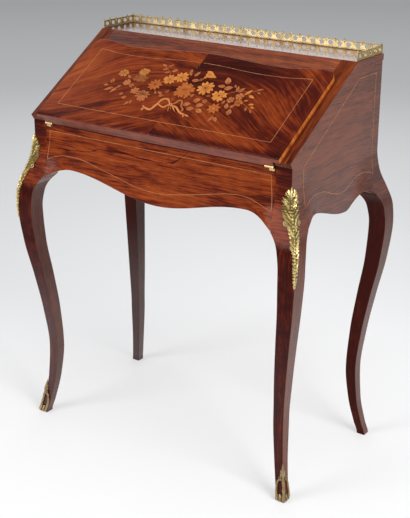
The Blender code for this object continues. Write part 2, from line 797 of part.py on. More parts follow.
lock_from = CORE_LENGTH - FIT - LOCK_LENGTH
lock_case = add_part(
    "lock_case",
    box((-LOCK_WIDTH / 2, lock_from, 0.0), (LOCK_WIDTH / 2, CORE_LENGTH - FIT, LOCK_THICK)),
    BRASS,
    fall_axis,
)
cut(
    fall_panel,
    box(
        (-LOCK_WIDTH / 2 - FIT, lock_from - FIT, -LOCK_THICK),
        (LOCK_WIDTH / 2 + FIT, CORE_LENGTH + LIP_LAP / 2, LOCK_THICK + FIT),
    ),
)
bolt_top = CORE_LENGTH - 2 * FIT
bolt_half = BOLT_WIDTH / 2
bolt_rise = BOLT_THICK / 2
channel_from = bolt_top - BOLT_LENGTH - FIT
cut(
    lock_case,
    box(
        (-bolt_half - FIT, channel_from, BOLT_Z - bolt_rise - FIT),
        (bolt_half + FIT, CORE_LENGTH + LOCK_LENGTH, BOLT_Z + bolt_rise + FIT),
    ),
)
cut(lock_case, plate([keyhole(0.0)], LOCK_THICK, lying(LOCK_THICK + FIT)))
add_part(
    "lock_bolt",
    box(
        (-bolt_half, bolt_top - BOLT_LENGTH, BOLT_Z - bolt_rise),
        (bolt_half, bolt_top, BOLT_Z + bolt_rise),
    ),
    STEEL,
    fall_axis,
)
cut(fall_panel, plate([keyhole(0.0)], 2 * FALL_THICK, lying(FALL_THICK + LOCK_THICK)))
liner_deep = ESCUTCHEON_DEPTH + FIT
cut(fall_panel, plate([keyhole(ESCUTCHEON_RIM + FIT)], 2 * liner_deep, lying(FALL_THICK)))
add_part(
    "escutcheon",
    plate(
        [keyhole(ESCUTCHEON_RIM), keyhole(0.0)],
        ESCUTCHEON_DEPTH,
        lying(FALL_THICK + FIT - ESCUTCHEON_DEPTH / 2),
    ),
    BRASS,
    fall_axis,
)

strike_from = CORE_LENGTH + CORE_TOP_GAP
strike_axis = add_axis("strike_seat", (0.0, HINGE_Y, DESK_HEIGHT), SLOPE)
strike_half = STRIKE_LENGTH / 2
strike_rise = STRIKE_WIDTH / 2
mortise_half = bolt_half + 2 * FIT
mortise_rise = bolt_rise + 2 * FIT
strike_plate = add_part(
    "strike_plate",
    box(
        (-strike_half, strike_from, BOLT_Z - strike_rise),
        (strike_half, strike_from + STRIKE_THICK, BOLT_Z + strike_rise),
    ),
    BRASS,
    strike_axis,
)


def mortise_box(deep):
    """Hole for the thrown bolt, through the strike plate and into the rail."""
    return box(
        (-mortise_half, strike_from - CORE_TOP_GAP, BOLT_Z - mortise_rise),
        (mortise_half, strike_from + deep, BOLT_Z + mortise_rise),
    )


cut(strike_plate, mortise_box(2 * STRIKE_THICK))


def in_room(mesh):
    """Moves a mesh from the fall's frame into the room, for cutting the fixed frame."""
    mesh.transform(Matrix.Translation((0.0, HINGE_Y, DESK_HEIGHT)) @ Matrix.Rotation(SLOPE, 4, "X"))
    return mesh


cut(top_rail, in_room(mortise_box(BOLT_THROW + STRIKE_THICK)))
cut(
    top_rail,
    in_room(
        box(
            (-strike_half - FIT, strike_from - CORE_TOP_GAP, BOLT_Z - strike_rise - FIT),
            (strike_half + FIT, strike_from + STRIKE_THICK + FIT, BOLT_Z + strike_rise + FIT),
        )
    ),
)


# Fitted interior: drawers below, pigeonholes above

notched_board("drawer_bed", INTERIOR_FRONT, BED_FROM, BED_THICK, OAK)
notched_board("pigeonhole_shelf", INTERIOR_FRONT, SHELF_FROM, PARTITION, OAK)

bay = (2 * (SIDE_X - FIT) - 2 * PARTITION) / 3
divider_x = (bay + PARTITION) / 2
for side_name, side in SIDES.items():
    divider = box(
        (side * divider_x - PARTITION / 2, INTERIOR_FRONT, DRAWER_FROM + FIT),
        (side * divider_x + PARTITION / 2, desk_back, SHELF_FROM - FIT),
    )
    add_part(f"drawer_divider_{side_name}", divider, OAK)

pigeonhole_front = INTERIOR_FRONT + PIGEONHOLE_SET
pigeonhole_outline = [
    (pigeonhole_front, SHELF_TOP + FIT),
    (desk_back, SHELF_TOP + FIT),
    (desk_back, TOP_UNDER - FIT),
    (max(slope_depth(TOP_UNDER - FIT, -FRAME_THICK - FIT), pigeonhole_front), TOP_UNDER - FIT),
    (pigeonhole_front, min(slope_height(pigeonhole_front, -FRAME_THICK - FIT), TOP_UNDER - 2 * FIT)),
]
for i in range(1, PIGEONHOLES):
    x = (SIDE_X - FIT) * (2 * i / PIGEONHOLES - 1)
    add_part(f"pigeonhole_divider_{i}", plate([pigeonhole_outline], PARTITION, upright(x)), OAK)


def knob_mesh():
    """Half section of a small turned knob, from its crown to its foot, out along +Z."""
    crown = [(KNOB_RADIUS * math.sin(a), KNOB_RADIUS * 0.6 * math.cos(a)) for a in spread(0.0, 2.2, 7)]
    lift = KNOB_LENGTH - KNOB_RADIUS * 0.6
    profile = [(x, z + lift) for x, z in crown]
    profile += [(KNOB_STEM, profile[-1][1] - KNOB_STEM), (KNOB_STEM, KNOB_STEM)]
    profile += [(KNOB_RADIUS * 0.75, KNOB_STEM * 0.5), (KNOB_RADIUS * 0.75, 0.0), (0.0, 0.0)]
    mesh = bpy.data.meshes.new("knob")
    mesh.from_pydata([(x, 0.0, z) for x, z in profile], [(i, i + 1) for i in range(len(profile) - 1)], [])
    return mesh


drawer_half = bay / 2 - DRAWER_GAP
drawer_high = DRAWER_BAY - 2 * DRAWER_GAP
box_back = POST_BACK - POST - DRAWER_BACK_GAP - INTERIOR_FRONT
box_front = DRAWER_FRONT_THICK + FIT
for name, place in {"left": -1, "centre": 0, "right": 1}.items():
    slide = add_axis(
        f"drawer_slide_{name}",
        (place * (bay + PARTITION), INTERIOR_FRONT, DRAWER_FROM + DRAWER_GAP),
    )
    front_board = box((-drawer_half, 0.0, 0.0), (drawer_half, DRAWER_FRONT_THICK, drawer_high))
    add_part(f"drawer_front_{name}", front_board, ROSEWOOD, slide)
    drawer_box = add_part(
        f"drawer_box_{name}",
        box((-drawer_half, box_front, 0.0), (drawer_half, box_back, drawer_high - DRAWER_WALL)),
        OAK,
        slide,
    )
    cut(
        drawer_box,
        box(
            (-drawer_half + DRAWER_WALL, box_front + DRAWER_WALL, DRAWER_FLOOR),
            (drawer_half - DRAWER_WALL, box_back - DRAWER_WALL, 2 * drawer_high),
        ),
    )
    knob = add_part(f"drawer_knob_{name}", knob_mesh(), BRASS, slide)
    knob.location = (0.0, -FIT, drawer_high / 2)
    knob.rotation_euler = (math.pi / 2, 0.0, 0.0)
    turning = knob.modifiers.new("turning", "SCREW")
    turning.steps = KNOB_STEPS
    turning.render_steps = KNOB_STEPS
    turning.use_merge_vertices = True
    turning.merge_threshold = 0.00005


# Pierced gallery round the flat top

def gallery_outlines(length):
    """Band on posts with an arched opening in each bay and a pointed finial over each post."""
    bays = max(round(length / GALLERY_PITCH), 1)
    pitch = length / bays
    outer = [(0.0, 0.0), (length, 0.0)]
    for i in range(bays, -1, -1):
        x = i * pitch
        finial = [
            (x + FINIAL_HALF, GALLERY_RAIL),
            (x, GALLERY_HEIGHT),
            (x - FINIAL_HALF, GALLERY_RAIL),
        ]
        outer += [(min(max(px, 0.0), length), pz) for px, pz in finial]
    outlines = [outer]
    half = (pitch - GALLERY_POST) / 2
    for i in range(bays):
        middle = (i + 0.5) * pitch
        springing = GALLERY_ARCH_TOP - half
        opening = [(middle - half, GALLERY_BASE), (middle + half, GALLERY_BASE)]
        opening += arc((middle, springing), half, 0, 180, 6)
        outlines.append(opening)
    return outlines


gallery_back_y = BACK - GALLERY_INSET - GALLERY_THICK / 2
gallery_side_x = HALF_WIDTH - GALLERY_INSET - GALLERY_THICK / 2
back_length = 2 * gallery_side_x - GALLERY_THICK - 2 * FIT
side_length = gallery_back_y + GALLERY_THICK / 2 - top_front - GALLERY_INSET
on_top = TOP_HEIGHT + FIT
standing_back = Matrix.Translation((-back_length / 2, gallery_back_y, on_top))
standing_back @= Matrix.Rotation(math.pi / 2, 4, "X")
add_part("gallery_back", plate(gallery_outlines(back_length), GALLERY_THICK, standing_back), GILT)
for side_name, side in SIDES.items():
    standing_side = Matrix.Translation((0.0, top_front + GALLERY_INSET, on_top))
    standing_side @= upright(side * gallery_side_x)
    side_fence = plate(gallery_outlines(side_length), GALLERY_THICK, standing_side)
    add_part(f"gallery_{side_name}", side_fence, GILT)


# Gilt mounts on the front knees and toes

def corner_mount(side, levels):
    """Angle-shaped shell over a front leg's outer corner, with its own width and relief at each level."""
    sections = []
    for z, wing, relief in levels:
        corner_x = HALF_WIDTH + splay(z)
        corner_y = FRONT - splay(z)
        near = FIT
        far = FIT + relief
        points = [
            (corner_x - wing, corner_y - near),
            (corner_x + near, corner_y - near),
            (corner_x + near, corner_y + wing),
            (corner_x + far, corner_y + wing),
            (corner_x + far, corner_y - far),
            (corner_x - wing, corner_y - far),
        ]
        sections.append([(side * x, y, z) for x, y in points])
    return loft(sections)


for side_name, side in SIDES.items():
    add_part(f"knee_mount_{side_name}", corner_mount(side, KNEE_SECTIONS), GILT)
    add_part(f"toe_cap_{side_name}", corner_mount(side, mount_sections(TOE_CAP)), GILT)
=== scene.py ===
import math

import bmesh
import bpy
from mathutils import Matrix, Vector


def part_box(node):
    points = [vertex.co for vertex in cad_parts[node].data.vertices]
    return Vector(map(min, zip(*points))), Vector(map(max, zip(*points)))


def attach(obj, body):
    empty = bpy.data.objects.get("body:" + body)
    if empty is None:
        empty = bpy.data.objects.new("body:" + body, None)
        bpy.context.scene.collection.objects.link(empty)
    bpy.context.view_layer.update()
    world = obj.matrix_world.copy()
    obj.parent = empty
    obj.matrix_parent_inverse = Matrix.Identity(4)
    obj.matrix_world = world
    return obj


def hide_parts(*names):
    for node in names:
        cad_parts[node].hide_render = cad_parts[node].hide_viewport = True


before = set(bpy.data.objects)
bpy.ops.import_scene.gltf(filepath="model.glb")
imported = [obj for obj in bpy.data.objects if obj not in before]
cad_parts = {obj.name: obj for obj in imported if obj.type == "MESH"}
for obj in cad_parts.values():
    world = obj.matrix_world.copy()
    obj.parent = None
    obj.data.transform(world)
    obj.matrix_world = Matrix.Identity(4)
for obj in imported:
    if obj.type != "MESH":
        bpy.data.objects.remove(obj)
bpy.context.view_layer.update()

# Legs
# Four cabriole legs, sawn square from the solid and veneered with rosewood. Their upper ends run on
# as the corner posts of the carcass, and the outer corner of each swings out at the knee and the toe.
HALF_WIDTH, BACK, TOP_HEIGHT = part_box("top_board")[1]
TOP_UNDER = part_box("top_board")[0].z
DESK_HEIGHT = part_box("desk_board")[1].z
DEPTH = 0.358
FRONT = BACK - DEPTH
POST = 0.0365  # width of a post
POST_BACK = BACK - 0.004
POST_X = HALF_WIDTH - POST
FRAME_THICK = 0.0134
FRONT_LIP = 0.019  # slope's face above the desk, at the apron's face
TOP_DEPTH = 0.1145
TOP_FRONT = BACK - TOP_DEPTH
SLOPE = math.atan2(TOP_HEIGHT - DESK_HEIGHT - FRONT_LIP, DEPTH - TOP_DEPTH)
EAR_DROP = 0.125  # where the legs leave the apron and sides, below the desk
KNEE_TOP = DESK_HEIGHT - 0.033
SIDES = {"left": -1, "right": 1}
LEG_SHAPE = (  # height, how far the outer corner stands out, how far the inner faces lie in
    (0.000, 0.0125, 0.0075), (0.030, 0.0065, 0.0140), (0.100, -0.0040, 0.0265), (0.180, -0.0075, 0.0330),
    (0.270, 0.0000, 0.0293), (0.360, 0.0125, 0.0208), (DESK_HEIGHT - 0.283, 0.0266, 0.0108),
    (DESK_HEIGHT - 0.203, 0.0330, 0.0077), (DESK_HEIGHT - 0.163, 0.0306, 0.0128),
    (DESK_HEIGHT - 0.148, 0.0277, 0.0182), (DESK_HEIGHT - 0.137, 0.0244, 0.0257),
    (DESK_HEIGHT - EAR_DROP, 0.0204, POST),
)
LEG_SPLAY = [(z, out) for z, out, inside in LEG_SHAPE] + [(DESK_HEIGHT - 0.075, 0.0045), (KNEE_TOP, 0.0)]
LEG_SETBACK = [(z, inside) for z, out, inside in LEG_SHAPE] + [(DESK_HEIGHT - 0.110, 0.0580)]
ARRIS = 0.0016  # rounding of the legs' corners
ARRIS_STEPS = 4
LEG_STEPS = 96


def smooth(stations, at):
    """Value at a place on a smooth curve through (place, value) stations, with no overshoot."""
    places, values = zip(*stations)
    last = len(stations) - 1
    if at <= places[0]:
        return values[0]
    if at >= places[last]:
        return values[last]
    rises = [(values[i + 1] - values[i]) / (places[i + 1] - places[i]) for i in range(last)]

    def tangent(i):
        if i in (0, last) or rises[i - 1] * rises[i] <= 0.0:
            return 0.0
        return 2.0 * rises[i - 1] * rises[i] / (rises[i - 1] + rises[i])

    i = max(k for k in range(last) if places[k] <= at)
    step = places[i + 1] - places[i]
    t = (at - places[i]) / step
    start = (2 * t**3 - 3 * t**2 + 1) * values[i] + (t**3 - 2 * t**2 + t) * step * tangent(i)
    return start + (3 * t**2 - 2 * t**3) * values[i + 1] + (t**3 - t**2) * step * tangent(i + 1)


def splay(z):
    """How far a leg's outer corner stands outside the carcass, in X and in Y alike."""
    return smooth(LEG_SPLAY, z)


def setback(z):
    """How far a leg's inner faces lie inside the carcass faces; the post stops them above the ear."""
    return min(smooth(LEG_SETBACK, z), POST)


def slope_height(y, above=0.0):
    """Height of the slanted frame's face, or of a plane parallel to it."""
    return DESK_HEIGHT + FRONT_LIP + (y - FRONT) * math.tan(SLOPE) + above / math.cos(SLOPE)


def spread(start, end, steps):
    """Even places from one value to another, both included."""
    return [start + (end - start) * i / steps for i in range(steps + 1)]


def rounded_ring(corners, radii):
    """Outline through flat corners, each one rounded by its own radius."""
    ring = []
    for i, (corner, radius) in enumerate(zip(corners, radii)):
        before = (corners[i - 1] - corner).normalized()
        after = (corners[(i + 1) % len(corners)] - corner).normalized()
        for turn in spread(0.0, math.pi / 2, ARRIS_STEPS):
            ring.append(corner + radius * ((1 - math.sin(turn)) * before + (1 - math.cos(turn)) * after))
    return ring


def skin(shape, rings):
    """Adds a skin over rings of points to a shape, with a face at each end."""
    rows = [[shape.verts.new(point) for point in ring] for ring in rings]
    for lower, upper in zip(rows, rows[1:]):
        for i in range(len(lower)):
            j = (i + 1) % len(lower)
            shape.faces.new((lower[i], lower[j], upper[j], upper[i]))
    shape.faces.new(rows[0][::-1])
    shape.faces.new(rows[-1])
    return rows


def smoothed(mesh, crease):
    """Mesh shaded smooth but for its sharp edges, by their angle in degrees."""
    mesh.polygons.foreach_set("use_smooth", [True] * len(mesh.polygons))
    mesh.set_sharp_from_angle(angle=math.radians(crease))
    return mesh


def finished(shape, crease=35.0):
    """Mesh of a shape: doubles joined, faces turned outwards, shaded smooth."""
    bmesh.ops.remove_doubles(shape, verts=shape.verts, dist=1e-6)
    bmesh.ops.recalc_face_normals(shape, faces=shape.faces)
    mesh = bpy.data.meshes.new("mesh")
    shape.to_mesh(mesh)
    shape.free()
    return smoothed(mesh, crease)


def lofted(*runs):
    """Mesh of one or more skins, each over its own rings of points."""
    shape = bmesh.new()
    for rings in runs:
        skin(shape, rings)
    return finished(shape)


def in_room(name, data):
    """New object in the room, of a mesh, curve, lamp or lens."""
    thing = bpy.data.objects.new(name, data)
    bpy.context.scene.collection.objects.link(thing)
    return thing


def add_piece(name, mesh, finishes, nodes=(), body="carcass"):
    """Puts a piece in the room, on the body that carries it and in place of the nodes it stands for."""
    mesh.name = name
    piece = in_room(name, mesh)
    for finish in finishes:
        mesh.materials.append(finish)
    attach(piece, body)
    if nodes:
        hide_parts(*nodes)
    piece.modifiers.new("even_shading", "WEIGHTED_NORMAL").keep_sharp = True
    return piece


class Shade:
    """A value, colour or place in a finish. Sums on it add Math nodes to that finish."""

    def __init__(self, tree, socket=None):
        self.tree = tree
        self.socket = socket

    def node(self, kind, settings=None, sockets=None, out=0):
        made = self.tree.nodes.new("ShaderNode" + kind)
        for key, value in (settings or {}).items():
            if key == "stops":
                stops = made.color_ramp.elements
                stops[0].position = value[0][0]
                stops[-1].position = value[-1][0]
                for place, colour in value[1:-1]:
                    stops.new(place)
                for stop, (place, colour) in zip(stops, value):
                    stop.color = (*colour, 1.0)
            else:
                setattr(made, key, value)
        for key, value in (sockets or {}).items():
            if isinstance(value, Shade):
                self.tree.links.new(value.socket, made.inputs[key])
            else:
                made.inputs[key].default_value = value
        return Shade(self.tree, made.outputs[out])

    def math(self, operation, *values):
        return self.node("Math", {"operation": operation}, dict(enumerate(values)))

    def ramp(self, stops):
        return self.node("ValToRGB", {"stops": stops}, {0: self})

    def bump(self, strength, distance):
        return self.node("Bump", None, {"Strength": strength, "Distance": distance, "Height": self})

    __add__ = __radd__ = lambda self, other: self.math("ADD", self, other)
    __mul__ = __rmul__ = lambda self, other: self.math("MULTIPLY", self, other)
    __sub__ = lambda self, other: self.math("SUBTRACT", self, other)
    __rsub__ = lambda self, other: self.math("SUBTRACT", other, self)
    __truediv__ = lambda self, other: self.math("DIVIDE", self, other)
    __abs__ = lambda self: self.math("ABSOLUTE", self)


def new_finish(name):
    """An empty finish, and the place on the piece in X, Y and Z, which moves with the piece."""
    finish = bpy.data.materials.new(name)
    finish.use_nodes = True
    place = Shade(finish.node_tree).node("TexCoord", out="Object")
    return finish, [place.node("SeparateXYZ", None, {0: place}, out) for out in range(3)]


def coat(finish, **sockets):
    """Sets or links sockets of a finish's shader; names have _ for a space."""
    shader = finish.node_tree.nodes["Principled BSDF"]
    for key, value in sockets.items():
        socket = shader.inputs[key.replace("_", " ")]
        if isinstance(value, Shade):
            finish.node_tree.links.new(value.socket, socket)
        else:
            socket.default_value = value
    return finish


def cloud(along, across, through, detail=2.0):
    """Soft random figure over three distances."""
    place = next(d for d in (along, across, through) if isinstance(d, Shade))
    at = place.node("CombineXYZ", None, {0: along, 1: across, 2: through})
    return at.node("TexNoise", None, {"Vector": at, "Scale": 1.0, "Detail": detail})


def grain(lay, long, wide, detail=2.0):
    """Figure about nought, drawn out along the grain of a lay: distances along, across and through it."""
    along, across, through = lay
    return cloud(along * long, across * wide, through * wide, detail) - 0.5


def between(value, start, end):
    """Nought at the start, one at the end, and smooth from one to the other."""
    return value.node("MapRange", {"interpolation_type": "SMOOTHSTEP"}, {0: value, 1: start, 2: end})


def blend(base, over, mask):
    """Colour over another by a mask."""
    base, over = (c if isinstance(c, Shade) else (*c, 1.0) for c in (base, over))
    return mask.node("Mix", {"data_type": "RGBA"}, {0: mask, 6: base, 7: over}, 2)


ROSEWOOD_TONES = (
    (0.18, (0.034, 0.0025, 0.0010)),
    (0.36, (0.090, 0.0092, 0.0023)),
    (0.50, (0.212, 0.0318, 0.0054)),
    (0.66, (0.318, 0.0590, 0.0094)),
    (0.85, (0.440, 0.1060, 0.0205)),
)
PORE_DARK = (0.018, 0.005, 0.003)


def rosewood(
    name, lay, tone=None, tones=ROSEWOOD_TONES, figure=(0.40, 0.48, 0.60), gloss=0.2, sheen=0.08, varnish=None
):
    """Polished rosewood. lay gives the distances along, across and through the grain from X, Y and Z,
    tone lightens or darkens by place, figure is the strength of the bands, streaks and fine lines, and
    varnish is how thick the varnish lies by place."""
    finish, axes = new_finish(name)
    straight = along, across, through = lay(*axes)
    wavy = along, across + grain(straight, 3.0, 5.0) * 0.03, through
    bands = grain(wavy, 2.2, 26.0, 3.0)
    streaks = grain(wavy, 6.0, 110.0, 4.0)
    lines = grain(wavy, 22.0, 460.0)
    mottle = grain(straight, 42.0, 60.0, 3.0)
    level = bands * figure[0] + streaks * figure[1] + lines * figure[2] + mottle * 0.22 + 0.5
    if tone:
        level = level + tone(*axes)
    open_pore = between(grain(straight, 110.0, 1900.0, 1.0), 0.10, 0.22)
    worn = grain(straight, 9.0, 9.0, 3.0)
    if varnish:
        coat(finish, Coat_Weight=varnish(*axes), Coat_Roughness=0.22)
    return coat(
        finish,
        Base_Color=blend(level.ramp(tones), PORE_DARK, open_pore * 0.45),
        Roughness=worn * 0.16 + gloss,
        Normal=(1.0 - open_pore).bump(0.12, 0.0003),
        Specular_IOR_Level=sheen,
    )


def thick_low(x, y, z):
    """Varnish that has run down and lies thick on the lower legs, on the left ones most."""
    return between(z, 0.47, 0.20) * between(x, 0.60, -0.20) * 0.9


KNEE_TURN = (0.5905, 0.5895)  # heights between which the grain turns from level to upright
JOINT = 0.0001  # distance each side of a joint over which the veneers change


def bent(level_way, over_post, up_way, post):
    """Grain that runs level, and on a post bends at the knee to run down the leg: along and across."""
    level_up = up_way - sum(KNEE_TURN) / 2
    turn = between(up_way, *KNEE_TURN) * post
    along = level_way * (1.0 - post) + over_post * (post - turn) + level_up * turn
    return along, level_up * (1.0 - turn) - over_post * turn


VEIN = (  # dark vein through the apron's veneer: place across, height
    (-0.300, 0.676), (-0.269, 0.677), (-0.232, 0.679), (-0.177, 0.684), (-0.163, 0.690), (-0.151, 0.695),
    (-0.115, 0.697), (-0.077, 0.697), (-0.035, 0.694), (0.014, 0.693), (0.034, 0.695), (0.053, 0.699),
    (0.070, 0.711), (0.092, 0.730),
)
VEIN_SPAN = 0.6


def front_lay(x, y, z):
    """Level grain over the apron and the posts, upright down the legs."""
    post = between(abs(x), POST_X - JOINT, POST_X + JOINT)
    return *bent(x, abs(x) - (HALF_WIDTH - POST / 2), z, post), y


def front_tone(x, y, z):
    """Warm at the lower middle, dark along the vein, at the posts and down the legs; painted shadow under the
    fall.
    """
    track = (x / VEIN_SPAN + 0.5).ramp([(px / VEIN_SPAN + 0.5, (pz, pz, pz)) for px, pz in VEIN])
    shaky = cloud(x * 60.0, z * 60.0, 0.0, 3.0) - 0.5
    off = abs(z - track - shaky * 0.005)
    thin = 0.0006 + 0.0018 * between(cloud(x * 22.0, 4.0, z * 9.0), 0.42, 0.68)
    vein = between(off / thin, 1.9, 0.4) * between(x, 0.098, 0.090) * between(x, -0.275, -0.262)
    right = between(x, 0.085, 0.16) * between(x, 0.30, 0.26)
    posts = between(abs(x), 0.290, 0.318) * between(z, 0.655, 0.695)
    glow = between(x, -0.02, 0.07) * between(x, 0.118, 0.100) * between(z, 0.655, 0.625)
    shank = between(z, 0.606, 0.574)
    # Painted shadow along the apron's top edge, in the gap under the fall.
    gap_shadow = between(z, DESK_HEIGHT - 0.0042, DESK_HEIGHT - 0.0022)
    smoke = between(cloud(x * 11.0, z * 34.0, 7.0, 4.0), 0.50, 0.66)
    light = glow * 0.02 + 0.015
    return light - smoke * 0.13 - vein * 0.26 - right * 0.05 - posts * 0.26 - shank * 0.25 - gap_shadow * 0.40


def side_lay(x, y, z):
    """Level grain over the side and its posts, upright down the legs."""
    middle = (FRONT + POST_BACK) / 2
    off = abs(y - middle)
    inner = POST_BACK - POST - middle
    return *bent(y, off - inner - POST / 2, z, between(off, inner - JOINT, inner + JOINT)), x


front_rosewood = rosewood("front_rosewood", front_lay, front_tone, varnish=thick_low)
SIDE_TONES = (
    (0.18, (0.050, 0.0110, 0.0060)),
    (0.36, (0.098, 0.0235, 0.0100)),
    (0.50, (0.148, 0.0360, 0.0145)),
    (0.66, (0.190, 0.0480, 0.0190)),
    (0.85, (0.250, 0.0700, 0.0290)),
)
side_rosewood = rosewood(
    "side_rosewood",
    side_lay,
    # Painted shade: darker towards the bottom of the side; also darker towards the back.
    lambda x, y, z: between(z, 0.73, 0.62) * -0.10 - between(y, 0.06, 0.16) * 0.10,
    SIDE_TONES,
    figure=(0.46, 0.52, 0.70),
    gloss=0.24,
    sheen=0.78,
)


def shank_tone(x, y, z):
    """Darker above the ankle and towards the back, with painted shade over the left legs."""
    return between(z, 0.20, 0.40) * -0.10 - between(y, -0.05, 0.05) * 0.10 - between(x, 0.1, -0.1) * 0.20


shank_rosewood = rosewood(
    "shank_rosewood",
    side_lay,
    shank_tone,
    SIDE_TONES,
    figure=(0.34, 0.34, 0.42),
    gloss=0.24,
    sheen=0.37,
    varnish=lambda x, y, z: thick_low(x, y, z) * 0.5,
)
leg_rosewood = rosewood(
    "leg_rosewood",
    lambda x, y, z: (z, x, y),
    lambda x, y, z: between(z, 0.56, 0.44) * -0.04 - 0.29,
    figure=(0.22, 0.28, 0.28),
    varnish=lambda x, y, z: thick_low(x, y, z) * between(x, 0.3, 0.0),
)
LEG_FINISHES = [leg_rosewood, side_rosewood, front_rosewood, shank_rosewood]

for side_name, side in SIDES.items():
    for end_name, end, face in (("front", -1, FRONT), ("rear", 1, POST_BACK)):
        rings = []
        for z in [*spread(0.0, KNEE_TOP, LEG_STEPS), DESK_HEIGHT]:
            x_out, x_in = side * (HALF_WIDTH + splay(z)), side * (HALF_WIDTH - setback(z))
            y_out, y_in = face + end * splay(z), face - end * setback(z)
            corners = [Vector(c) for c in ((x_out, y_out), (x_in, y_out), (x_in, y_in), (x_out, y_in))]
            butted = min(max((DESK_HEIGHT - EAR_DROP - z) / 0.012, 0.12), 1.0)  # sharper where a board butts
            foot = min(0.45 + z / 0.02, 1.0)  # and at the floor
            ring = rounded_ring(corners, [ARRIS * foot, ARRIS * butted * foot] * 2)
            if z < DESK_HEIGHT:
                rings.append([(p.x, p.y, z) for p in ring])
            elif end < 0:
                rings.append([(p.x, p.y, slope_height(p.y, -FRAME_THICK)) for p in ring])
            else:
                rings.append([(p.x, p.y, TOP_UNDER) for p in ring])
        mesh = lofted(rings)
        for polygon in mesh.polygons:
            if abs(polygon.normal.x) > 0.70:
                polygon.material_index = 1 if polygon.center.z > KNEE_TURN[0] else 3
            elif end < 0 and polygon.normal.y < -0.60:
                polygon.material_index = 2
        name = f"leg_{end_name}_{side_name}"
        add_piece(f"{name}_post", mesh, LEG_FINISHES, [name])


# Apron and sides
# Boards of oak veneered with rosewood, tenoned between the posts. Their faces swell to meet the knees,
# their lower edges are sawn to a serpentine, and the apron is let in at the top for the two hinges.
APRON_THICK = 0.020
SIDE_X = HALF_WIDTH - 0.016
ARCH_DROP = 0.101
ARCH_AT = 0.235
LOBE_DROP = 0.138
SIDE_ARCH_DROP = 0.1125
SIDE_LOBE_DROP = 0.144
SIDE_LOBE_AT = (FRONT + POST_BACK) / 2 + 0.0464
SIDE_ARCH_AHEAD = 0.150
SIDE_ARCH_BEHIND = 0.066
SWELL_REACH = 0.075
EDGE = 0.0014  # rounding of the sawn edges
HINGE_X, HINGE_Y, _ = sum(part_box("hinge_pin_right"), Vector()) / 2
LEAF_SEAT = 0.0103  # half the length of a hinge's seat
LEAF_DROP = 0.0018
LEAF_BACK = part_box("desk_hinge_leaf_right")[1].y + 0.0003


def fade(distance, reach):
    """One at no distance, falling smoothly to nought at the reach."""
    return 0.5 * (1 + math.cos(math.pi * min(max(distance / reach, 0.0), 1.0)))


def sawn_edge(off, reach, ear, arch_drop, lobe_drop):
    """Height of a lower edge off its lobe's middle: an arch at the reach, then down to the ear."""
    if off < reach:
        return DESK_HEIGHT - arch_drop - (lobe_drop - arch_drop) * fade(off, reach)
    return DESK_HEIGHT - arch_drop - (EAR_DROP - arch_drop) * ((off - reach) / (ear - reach)) ** 2


def front_low(x):
    """Lower edge of the apron: a broad lobe between two arches."""
    return sawn_edge(abs(x), ARCH_AT, POST_X, ARCH_DROP, LOBE_DROP)


def side_low(y):
    """Lower edge of a side: two arches, and a lobe that runs further ahead than behind."""
    ahead = y < SIDE_LOBE_AT
    ear = FRONT + POST if ahead else POST_BACK - POST
    reach = SIDE_ARCH_AHEAD if ahead else SIDE_ARCH_BEHIND
    return sawn_edge(abs(y - SIDE_LOBE_AT), reach, abs(ear - SIDE_LOBE_AT), SIDE_ARCH_DROP, SIDE_LOBE_DROP)


def front_face(x, z):
    """Point of the front at a place across and a height, posts included."""
    return Vector((x, FRONT - splay(z) * fade(POST_X - abs(x), SWELL_REACH), z))


def side_face(side, y, z):
    """Point of a side at a place from front to back and a height, posts included."""
    off = min(y - FRONT - POST, POST_BACK - POST - y)
    return Vector((side * (HALF_WIDTH + splay(z) * fade(off, SWELL_REACH)), y, z))


def sawn_profile(low, high, face, inward, back):
    """Section of a swelled board: back edge, rounded lower arris, and face up to the upper edge."""
    points = [back]
    for turn in spread(0.0, math.pi / 2, ARRIS_STEPS):
        points.append(face(low + EDGE * (1 - math.cos(turn))) + inward * (EDGE * (1 - math.sin(turn))))
    heights = spread(low + EDGE, KNEE_TOP, 22)[1:] + spread(KNEE_TOP, high, 3)[1:]
    return points + [face(z) for z in heights]


hinge_edges = [HINGE_X - LEAF_SEAT, HINGE_X + LEAF_SEAT]
columns = []  # place across, and whether it lies in a hinge's seat
for x in spread(-POST_X, POST_X, 110):
    if min(abs(abs(x) - edge) for edge in hinge_edges) > 0.001:
        columns.append((x, hinge_edges[0] < abs(x) < hinge_edges[1]))
for side in SIDES.values():
    for edge, out_of_seat in zip(hinge_edges, (-1, 1)):
        for step in (-1, 1):  # one section each side of the seat's end
            columns.append((side * edge + step * 1e-5, step * out_of_seat * side < 0))
rings = []
apron_back = FRONT + APRON_THICK
for x, seated in sorted(columns):
    low, high = front_low(x), DESK_HEIGHT - LEAF_DROP * seated
    face = lambda z: front_face(x, z)
    ring = sawn_profile(low, high, face, Vector((0.0, 1.0, 0.0)), (x, apron_back, low))
    rings.append([*ring, (x, LEAF_BACK, high), (x, LEAF_BACK, DESK_HEIGHT), (x, apron_back, DESK_HEIGHT)])
add_piece("apron", lofted(rings), [front_rosewood], ["front_apron"])

slope_end = TOP_FRONT - (slope_height(TOP_FRONT, -FRAME_THICK) - TOP_UNDER) / math.tan(SLOPE)
for side_name, side in SIDES.items():
    rings = []
    for y in spread(FRONT + POST, slope_end, 44) + spread(slope_end, POST_BACK - POST, 16)[1:]:
        low, high = side_low(y), min(slope_height(y, -FRAME_THICK), TOP_UNDER)
        face = lambda z: side_face(side, y, z)
        ring = sawn_profile(low, high, face, Vector((-side, 0.0, 0.0)), (side * SIDE_X, y, low))
        rings.append([*ring, (side * SIDE_X, y, high)])
    mesh = lofted(rings)
    for polygon in mesh.polygons:
        polygon.material_index = polygon.normal.z < -0.60
    add_piece(f"side_{side_name}", mesh, [side_rosewood, leg_rosewood], [f"side_panel_{side_name}"])


